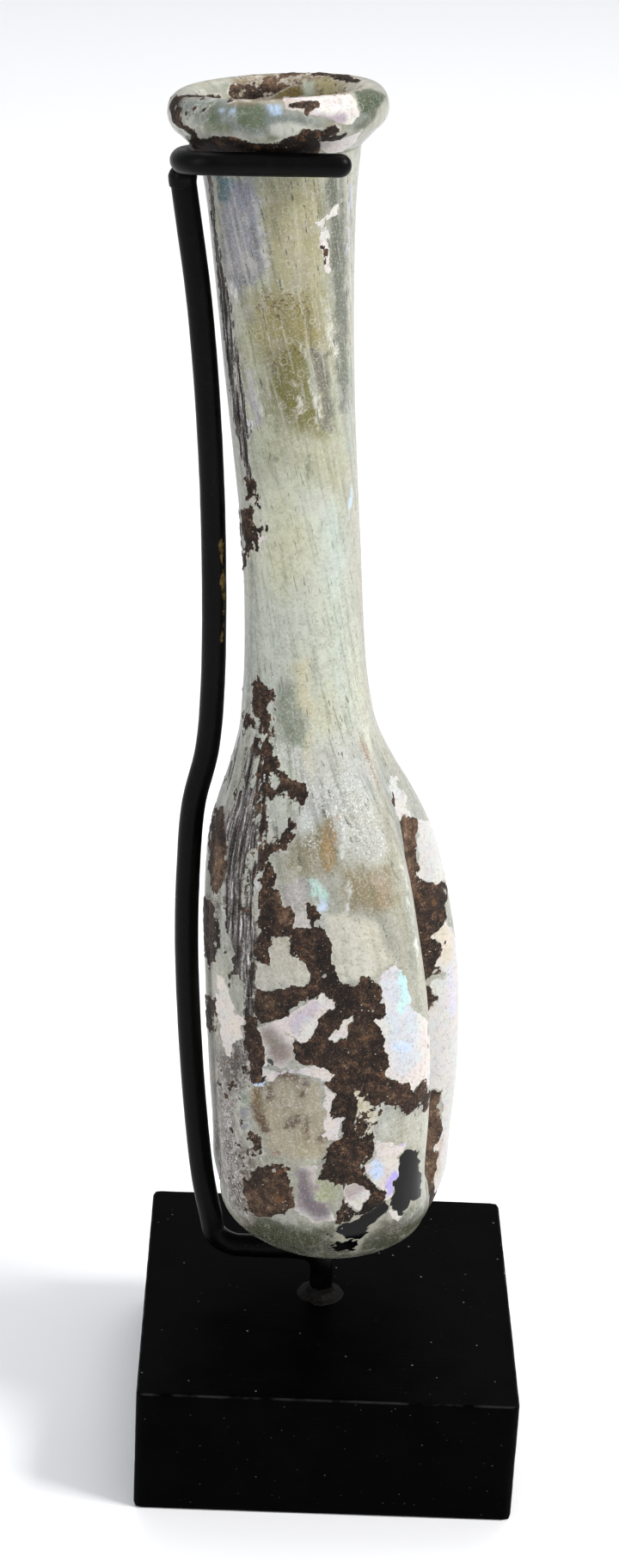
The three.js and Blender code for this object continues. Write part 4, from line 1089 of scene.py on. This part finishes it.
def make_skin(name, profile, columns, open_foot):
    """Sheet of weathering over part of the flask, crust and film standing proud."""
    profile = off_axis(profile)
    grid = turned(profile, columns)
    points, normals = grid.reshape(-1, 3), grid_normals(grid).reshape(-1, 3)
    masks = paint(points, normals, turns(len(profile), columns), np.repeat(profile[:, 1], columns))
    crusted = smooth(-0.10, 0.16, masks["crust"])
    filmed = smooth(-0.1, 0.15, masks["pearl"])
    relief = 0.05 + crusted * (0.12 + 0.10 * fractal(points, 0.8, 2, 41) + 0.08 * fractal(points, 2.6, 2, 43))
    relief += filmed * 0.04 * (1 - crusted) + 0.012 * fractal(tall(points, 0.2), 0.9, 2, 47)
    inner = np.arange(len(points)) >= (len(profile) - FLAT_ROWS) * columns
    relief = np.where(inner & (not open_foot), np.minimum(relief, 0.1), relief)
    points = points + normals * np.maximum(relief, SHEET_PROUD)[:, None]
    fan = []
    if open_foot:
        points, fan = caps(points, np.arange(columns), inward=False)
    piece = make_mesh(name, points, grid_faces(len(profile), columns), fan)
    for key, values in masks.items():
        give(piece, key, np.concatenate([values, values[:1]]) if open_foot else values)
    piece.data.materials.append(weathering)
    return piece


split = int(np.argmin(np.abs(whole[:500, 1] - SPLIT_HEIGHT)))
body_skin = make_skin("weathered_body", resample(whole[: split + 1], BODY_STEP), BODY_COLUMNS, True)
neck_skin = make_skin("weathered_neck", resample(whole[split:], NECK_STEP), NECK_COLUMNS, False)

glass_profile = off_axis(resample(outer_profile() + lip_profile() + inner_profile(), GLASS_STEP))
glass_grid = turned(glass_profile, GLASS_COLUMNS)
glass = closed_mesh("clear_glass", glass_grid.reshape(-1, 3), len(glass_profile), GLASS_COLUMNS)
look = Look("pale_green_glass")
glass.data.materials.append(look.surface(
    Base_Color=(0.84, 0.90, 0.80), Roughness=0.05, IOR=1.5, Transmission_Weight=1.0,
    Normal=look.bump(look.noise(3.5, 2.0, stretch=(1, 1, 3)), 0.03)))

# Inner deposits, a sheet just inside the cavity

deposit_profile = resample(inner_profile()[4:], DEPOSIT_STEP)
deposit_grid = turned(deposit_profile, GLASS_COLUMNS)
deposit_normals = grid_normals(deposit_grid)
inner_points = (deposit_grid + deposit_normals * 0.06).reshape(-1, 3)
deposit = make_mesh("inner_deposit", inner_points, grid_faces(len(deposit_profile), GLASS_COLUMNS))
inner_height = np.repeat(deposit_profile[:, 1], GLASS_COLUMNS)
clear = Canvas(inner_points, deposit_normals.reshape(-1, 3)).area(
    {k: SHADED_WINDOWS[k] for k in ("black_window", "foot_window", "foot_slit")}, "all")
amount = 0.5 * fractal(tall(inner_points, 0.5), 8.0, 4, 71) - 0.05
amount += 0.25 * smooth(120, 146, inner_height) + 0.1 * smooth(40, 6, inner_height)
give(deposit, "amount", amount - smooth(2.6, 1.2, clear))

look = Look("inner_film")
thick = look.step(look.plus(look.read("amount"), look.centred(look.noise(1.4, 4.0), 0.7)), 0.0, 0.5)
shade = look.ramp(look.noise(2.4, 4.0), [(0.34, (84, 66, 42)), (0.5, (150, 136, 100)), (0.64, (196, 190, 166))])
deposit.data.materials.append(look.surface(
    Base_Color=shade, Roughness=0.6, Alpha=look.times(thick, 0.55), Normal=look.bump(look.noise(0.5, 3.0), 0.08)))

# Bent rod and fork

BAR_SIDES, CURVE_STEPS, ROD_STEP, FORK_STEP = 28, 24, 0.5, 0.4


def catmull(points):
    """Centripetal curve through points, as the solid's."""
    p = [np.array(q, float) for q in points]
    p = [2 * p[0] - p[1], *p, 2 * p[-1] - p[-2]]
    out = []
    for i in range(1, len(p) - 2):
        x0, x1, x2, x3 = p[i - 1 : i + 3]
        d0, d1, d2 = (max(np.linalg.norm(b - a), 1e-6) ** 0.5 for a, b in ((x0, x1), (x1, x2), (x2, x3)))
        t1 = ((x1 - x0) / d0 - (x2 - x0) / (d0 + d1) + (x2 - x1) / d1) * d1
        t2 = ((x2 - x1) / d1 - (x3 - x1) / (d1 + d2) + (x3 - x2) / d2) * d1
        for u in np.linspace(0, 1, CURVE_STEPS, endpoint=False):
            out.append(x1 + t1 * u + (-3 * x1 + 3 * x2 - 2 * t1 - t2) * u**2 + (2 * x1 - 2 * x2 + t1 + t2) * u**3)
    out.append(p[-2])
    return np.array(out)


def spaced(path, step):
    """Points along a path at even distances."""
    reach = np.concatenate([[0], np.cumsum(np.linalg.norm(np.diff(path, axis=0), axis=1))])
    at = np.linspace(0, reach[-1], max(int(reach[-1] / step), 3))
    return np.stack([np.interp(at, reach, path[:, k]) for k in range(3)], axis=1)


def bar(name, path, diameter, rounded, seed):
    """Round bar along a path with hand-painted unevenness and rounded or flat ends."""
    tangent = np.gradient(path, axis=0)
    tangent /= np.linalg.norm(tangent, axis=1, keepdims=True)
    axis = np.cross(tangent[0], [0.3, 1.0, 0.2])
    frames = []
    for t in tangent:
        axis = axis - t * (axis @ t)
        axis = axis / np.linalg.norm(axis)
        frames.append((axis, np.cross(t, axis)))
    half = diameter / 2
    rings = [(c, f, half) for c, f in zip(path, frames)]
    if rounded:
        arc = [(half * math.sin(math.radians(a)), half * math.cos(math.radians(a))) for a in np.linspace(15, 85, 7)]
        low = [(path[0] - tangent[0] * out, frames[0], r) for out, r in arc[::-1]]
        rings = low + rings + [(path[-1] + tangent[-1] * out, frames[-1], r) for out, r in arc]
    points = []
    for c, (a, b), r in rings:
        for k in range(BAR_SIDES):
            w = 2 * math.pi * k / BAR_SIDES
            points.append(c + (a * math.cos(w) + b * math.sin(w)) * r)
    points = np.array(points)
    centres = np.repeat(np.array([c for c, _, _ in rings]), BAR_SIDES, axis=0)
    out = points - centres
    out /= np.maximum(np.linalg.norm(out, axis=1, keepdims=True), 1e-9)
    bumps = 0.02 * fractal(points, 2.2, 2, seed) + 0.05 * np.maximum(fractal(points, 1.1, 1, seed + 3) - 0.55, 0)
    return closed_mesh(name, points + out * bumps[:, None], len(rings), BAR_SIDES)


grip = NECK_TOP - FORK_BELOW_NECK_TOP
fork_span = float(outside_radius(grip)) + FORK_DIAMETER / 2 + FORK_GAP
axis_x = -float(drift_at(grip))
axis_y = grip * math.sin(math.radians(LEAN_BACK)) - FORK_FORWARD
seat_front, seat_back, seat_left = axis_y - fork_span, axis_y + fork_span, axis_x - fork_span
seat_end, seat_height = axis_x + FORK_REACH, FOOT_HEIGHT + grip

corner = ARM_HEIGHT - STEM_BEND
route = [(STEM_X, 0, z) for z in np.linspace(BLOCK_HEIGHT - HOLE_DEPTH + HOLE_GAP, corner - 0.5, 4)]
for a in np.radians([22.5, 45, 67.5]):
    route.append((STEM_X - STEM_BEND * (1 - math.cos(a)), 0, corner + STEM_BEND * math.sin(a)))
elbow_x = ELBOW - UPRIGHT[0][1]
route += [(x, 0, ARM_HEIGHT) for x in np.linspace(STEM_X - STEM_BEND - 1, elbow_x + 1, 3)]
for a in np.radians([12, 36, 60]):
    route.append((elbow_x - ELBOW * math.sin(a), 0, ARM_HEIGHT + ELBOW * (1 - math.cos(a))))
route += [(-left, back, ARM_HEIGHT + (seat_height - ARM_HEIGHT) * s) for s, left, back in UPRIGHT]
under_fork = seat_height - FORK_DIAMETER / 2 - BRAZE_GAP - math.tan(math.radians(FORK_TILT)) * (
    FORK_JOIN + ROD_DIAMETER / 2)
route.append((seat_left, seat_front + FORK_JOIN, under_fork))
rod_path = spaced(catmull(route), ROD_STEP)
rod = bar("bent_rod", rod_path, ROD_DIAMETER, False, 101)

flat = [(x, seat_front) for x in np.linspace(seat_end, seat_left + FORK_CORNER + 0.8, 4)]
for a in np.radians([15, 37.5, 60, 82.5]):
    flat.append((seat_left + FORK_CORNER * (1 - math.sin(a)), seat_front + FORK_CORNER * (1 - math.cos(a))))
for a in np.radians([10, 32.5, 55, 77.5]):
    flat.append((seat_left + fork_span * (1 - math.cos(a)), seat_back - fork_span * (1 - math.sin(a))))
flat += [(x, seat_back) for x in np.linspace(seat_left + fork_span + 1.5, seat_end, 3)]
climb, tilt = math.tan(math.radians(FORK_RISE)), math.tan(math.radians(FORK_TILT))
fork_route = [(x, y, seat_height + climb * (x - seat_left) - tilt * (y - seat_front)) for x, y in flat]
fork = bar("fork_rod", spaced(catmull(fork_route), FORK_STEP), FORK_DIAMETER, True, 131)

look = Look("black_paint_on_brass")
spread, lumps = look.noise(1.6, 4.0, rough=0.6), look.noise(0.5, 3.0)
worn = look.step(look.plus(look.read("worn"), look.centred(spread, 2.2)), 0.1, 0.35)
# Pale flecks on the paint
pale_flecks = look.step(look.noise(0.3, 3.0, rough=0.7), 0.66, 0.80)
black = look.ramp(spread, [(0.35, (2, 2, 2)), (0.62, (4, 4, 4)), (0.75, (10, 10, 10))])
black = look.coat(black, (150, 146, 138), pale_flecks, look.read("pale_flecks"))
brass = look.ramp(lumps, [(0.35, (70, 56, 30)), (0.6, (134, 112, 66))])
stand_paint = look.surface(
    Base_Color=look.mix(worn, black, brass), Metallic=look.times(worn, 0.7), Specular_IOR_Level=0.09,
    Roughness=look.blend(worn, look.blend(spread, 0.28, 0.46), 0.45), Normal=look.bump(lumps, 0.05))

# Strokes where the paint has worn down to the brass, deep on the rod and faint on the fork
ROD_WEAR = [[(259, 610, 1), (261, 650, 2.5), (262, 700, 2.5), (259, 745, 2)], [(370, 1506, 1.5)]]
FORK_WEAR = [[(296, 187, 2)]]
# Paint worn to the brass, and pale flecks that are thicker on the upward faces low on the rod
for piece, lines, fainter, flecking in ((rod, ROD_WEAR, 0.0, 0.6), (fork, FORK_WEAR, 0.9, 0.0)):
    piece.data.materials.append(stand_paint)
    spots = np.array([v.co[:] for v in piece.data.vertices]) / MM
    out = np.array([v.normal[:] for v in piece.data.vertices])
    gap = Canvas(spots, out).area(lines)
    give(piece, "worn", np.clip(0.1 - gap * 0.9, -2, 1) - fainter)
    give(piece, "pale_flecks", 0.12 + flecking * smooth(34, 24, spots[:, 2]) * (out[:, 2] > 0.2))

# Block, with a hole for the stem

def outline(inset, round_, count):
    """Rounded square, points at even distances from the middle of the front side."""
    half = BLOCK_WIDTH / 2 - inset
    r = max(round_, 0.02)
    straight, arc = 2 * (half - r), math.pi / 2 * r
    total = 4 * (straight + arc)
    points = []
    for k in range(count):
        s = (k / count * total + straight / 2) % total
        leg, rest = divmod(s, straight + arc)
        if rest <= straight:
            x, y = -half + r + rest, -half
        else:
            a = (rest - straight) / r
            x, y = half - r + r * math.sin(a), -half + r - r * math.cos(a)
        c, q = [(1, 0), (0, 1), (-1, 0), (0, -1)][int(leg) % 4]
        points.append((x * c - y * q, x * q + y * c))
    return np.array(points)


def side_gap(points):
    """Distance of each point from the nearest side of the block."""
    return (BLOCK_WIDTH / 2 - np.abs(points[:, :2])).min(axis=1)


BLOCK_AROUND, EDGE_WEAR, TOP_WEAR = 240, 0.05, 0.04
low_arc, high_arc = np.radians(np.linspace(0, 90, 6)), np.radians(np.linspace(15, 90, 6))
rings = [(BLOCK_BEVEL * (1 - math.sin(a)), BLOCK_BEVEL * (1 - math.cos(a))) for a in low_arc]
rings += [(0.0, z) for z in np.linspace(BLOCK_BEVEL, BLOCK_HEIGHT - BLOCK_BEVEL, 34)[1:]]
rings += [(BLOCK_BEVEL * (1 - math.cos(a)), BLOCK_HEIGHT - BLOCK_BEVEL * (1 - math.sin(a))) for a in high_arc]
base_ring = outline(BLOCK_BEVEL, BLOCK_CORNER - BLOCK_BEVEL, BLOCK_AROUND)
stack = [(base_ring * share, 0.0) for share in np.linspace(0.02, 1, 24)[:-1]]
stack += [(outline(inset, BLOCK_CORNER - inset, BLOCK_AROUND), z) for inset, z in rings]
top_ring, stem = stack[-1][0], np.array([STEM_X, 0.0])
ways = (top_ring - stem) / np.linalg.norm(top_ring - stem, axis=1, keepdims=True)
hole_ring = stem + ways * (ROD_DIAMETER / 2 + HOLE_GAP)
stack += [(top_ring + (hole_ring - top_ring) * share, BLOCK_HEIGHT) for share in np.linspace(0, 1, 40)[1:]]
stack += [(hole_ring, BLOCK_HEIGHT - down) for down in (0.4, 4, HOLE_DEPTH)]
points = np.vstack([np.column_stack([ring, np.full(BLOCK_AROUND, z)]) for ring, z in stack])
bite = EDGE_WEAR * np.maximum(fractal(points, 3.0, 3, 151), 0) * smooth(1.6, 0.0, side_gap(points))
points[:, :2] -= np.sign(points[:, :2]) * bite[:, None]
on_top = points[:, 2] > BLOCK_HEIGHT - 0.2
points[:, 2] -= np.where(on_top, TOP_WEAR * np.abs(fractal(points, 9.0, 2, 157)), 0)
block = closed_mesh("display_block", points, len(stack), BLOCK_AROUND)
points = np.array([v.co[:] for v in block.data.vertices]) / MM
give(block, "rim", 0.8 * smooth(0.35, 0.1, side_gap(points)) * smooth(0.35, 0.1, BLOCK_HEIGHT - points[:, 2]))
give(block, "upper", (points[:, 2] > BLOCK_HEIGHT - 0.3).astype(float))

look = Look("black_satin_paint")
brush, upper = look.noise(0.5, 3.0, stretch=(16, 1, 1)), look.read("upper")
specks = look.times(look.step(look.cells(1.9), 0.085, 0.05), look.step(look.noise(4.0, 2.0), 0.48, 0.60))
grit = look.times(look.step(look.cells(1.1), 0.07, 0.045), look.step(look.noise(5.0, 2.0), 0.42, 0.58))
scuff = look.times(look.read("rim"), look.step(look.noise(3.0, 3.0, rough=0.6), 0.36, 0.62))
black = look.ramp(look.noise(6.0, 4.0), [(0.35, (1, 1, 1)), (0.65, (3, 3, 4))])
black = look.coat(black, (150, 148, 150), specks, look.blend(upper, 0.12, 0.55))
black = look.coat(black, (120, 118, 120), grit, look.blend(upper, 0.45, 0.15))
black = look.coat(black, (84, 83, 86), scuff, 0.30)
block.data.materials.append(look.surface(
    Base_Color=black, Roughness=look.blend(brush, 0.34, 0.52), Specular_IOR_Level=0.015,
    Normal=look.bump(brush, 0.03)))

# Glue round the stem's foot and the brazed joint under the fork

def blob(name, centre, profile, columns, seed, wobble):
    """Small turned body with an uneven outline."""
    turn = 2 * math.pi * np.arange(columns) / columns
    points = np.array([(centre[0] + r * math.sin(w), centre[1] - r * math.cos(w), centre[2] + z)
                       for r, z in profile for w in turn])
    off = (points - centre) * np.array([1, 1, 0])
    radius = np.linalg.norm(off, axis=1, keepdims=True)
    points += off / np.maximum(radius, 1e-6) * (wobble * fractal(points, 1.3, 2, seed))[:, None] * (radius > 0.3)
    return closed_mesh(name, points, len(profile), columns)


GLUE_PROFILE = [(0.3, -0.35), (1.7, -0.35), (3.1, -0.12), (3.15, 0.0), (2.85, 0.10), (2.4, 0.22), (2.05, 0.42),
                (1.8, 0.75), (1.66, 1.15), (1.55, 1.45), (0.3, 1.45)]
BRAZE_PROFILE = [(0.3, -1.3), (1.62, -1.25), (1.72, -0.6), (1.75, 0.0), (1.6, 0.6), (1.2, 1.2), (0.3, 1.3)]
glue = blob("glue_ring", (STEM_X, 0, BLOCK_HEIGHT), resample(GLUE_PROFILE, 0.12), 64, 171, 0.35)
look = Look("dusty_glue")
speckle = look.noise(0.35, 4.0, rough=0.7)
flecking = look.ramp(speckle, [(0.40, (5, 5, 5)), (0.56, (12, 11, 9)), (0.70, (44, 36, 26)), (0.82, (130, 118, 100))])
glue.data.materials.append(look.surface(
    Base_Color=flecking, Roughness=look.blend(speckle, 0.35, 0.7), Specular_IOR_Level=0.1,
    Normal=look.bump(speckle, 0.12)))

braze = blob("brazed_joint", rod_path[-1], resample(BRAZE_PROFILE, 0.15), 40, 181, 0.12)
braze.data.materials.append(stand_paint)
give(braze, "worn", np.full(len(braze.data.vertices), -2.0))
give(braze, "pale_flecks", np.full(len(braze.data.vertices), 0.1))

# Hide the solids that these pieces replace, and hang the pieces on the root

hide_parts("glass_bottle")
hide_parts("support_rod")
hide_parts("neck_fork")
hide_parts("base_block")
for slot, pieces in (("glass", (glass, body_skin, neck_skin, deposit)), ("stand_metal", (rod, fork, braze)),
                     ("block", (block, glue))):
    for piece in pieces:
        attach(piece, "root")

# Floor, lights and camera

FLOOR_HALF_WIDTH, FLOOR_NEAR, FLOOR_FAR = 4000, -2000, 6000
floor = make_mesh("floor", [(-FLOOR_HALF_WIDTH, FLOOR_NEAR, 0), (FLOOR_HALF_WIDTH, FLOOR_NEAR, 0),
                            (FLOOR_HALF_WIDTH, FLOOR_FAR, 0), (-FLOOR_HALF_WIDTH, FLOOR_FAR, 0)],
                  [(0, 1, 2, 3)], smooth_shade=False)
look = Look("pale_floor")
floor.data.materials.append(look.surface(
    Base_Color=look.mix(look.noise(400.0, 2.0), (0.865, 0.868, 0.885), (0.895, 0.898, 0.912)), Roughness=0.55))

scene = bpy.context.scene
scene.view_settings.view_transform = "Standard"
scene.view_settings.look = "None"
world = bpy.data.worlds.new("studio")
world.use_nodes = True
background = world.node_tree.nodes["Background"]
background.inputs["Color"].default_value = (0.97, 0.98, 1.0, 1)
background.inputs["Strength"].default_value = 0.55
scene.world = world


def softbox(name, place, aim, size, power, colour):
    """Area light at a place in metres, turned to a point."""
    lamp = bpy.data.lights.new(name, "AREA")
    lamp.shape, lamp.size, lamp.size_y, lamp.energy, lamp.color = "RECTANGLE", size[0], size[1], power, colour
    holder = bpy.data.objects.new(name, lamp)
    scene.collection.objects.link(holder)
    holder.location = place
    holder.rotation_euler = (Vector(aim) - Vector(place)).to_track_quat("-Z", "Y").to_euler()


softbox("key", (0.85, -0.25, 0.95), (0, 0, 0.08), (0.36, 0.36), 14.4, (1.0, 0.99, 0.97))
softbox("fill", (-0.8, -0.6, 0.6), (0, 0, 0.1), (0.3, 0.9), 3.2, (0.97, 0.98, 1.0))
softbox("top", (0.1, 0.75, 1.2), (0.1, 0.75, 0), (0.9, 0.9), 7.0, (1, 1, 1))

SENSOR = 36.0
lens = bpy.data.cameras.new("view")
lens.sensor_width, lens.sensor_fit = SENSOR, "AUTO"
lens.lens = FOCAL_PIXELS / PHOTO_HEIGHT * SENSOR
lens.clip_start, lens.clip_end = 0.02, 50
camera = bpy.data.objects.new("view", lens)
scene.collection.objects.link(camera)
rows = [(RIGHT[k], UP[k], -FORWARD[k], CAMERA_PLACE[k] * MM) for k in range(3)]
camera.matrix_world = Matrix([*rows, (0, 0, 0, 1)])
scene.camera = camera
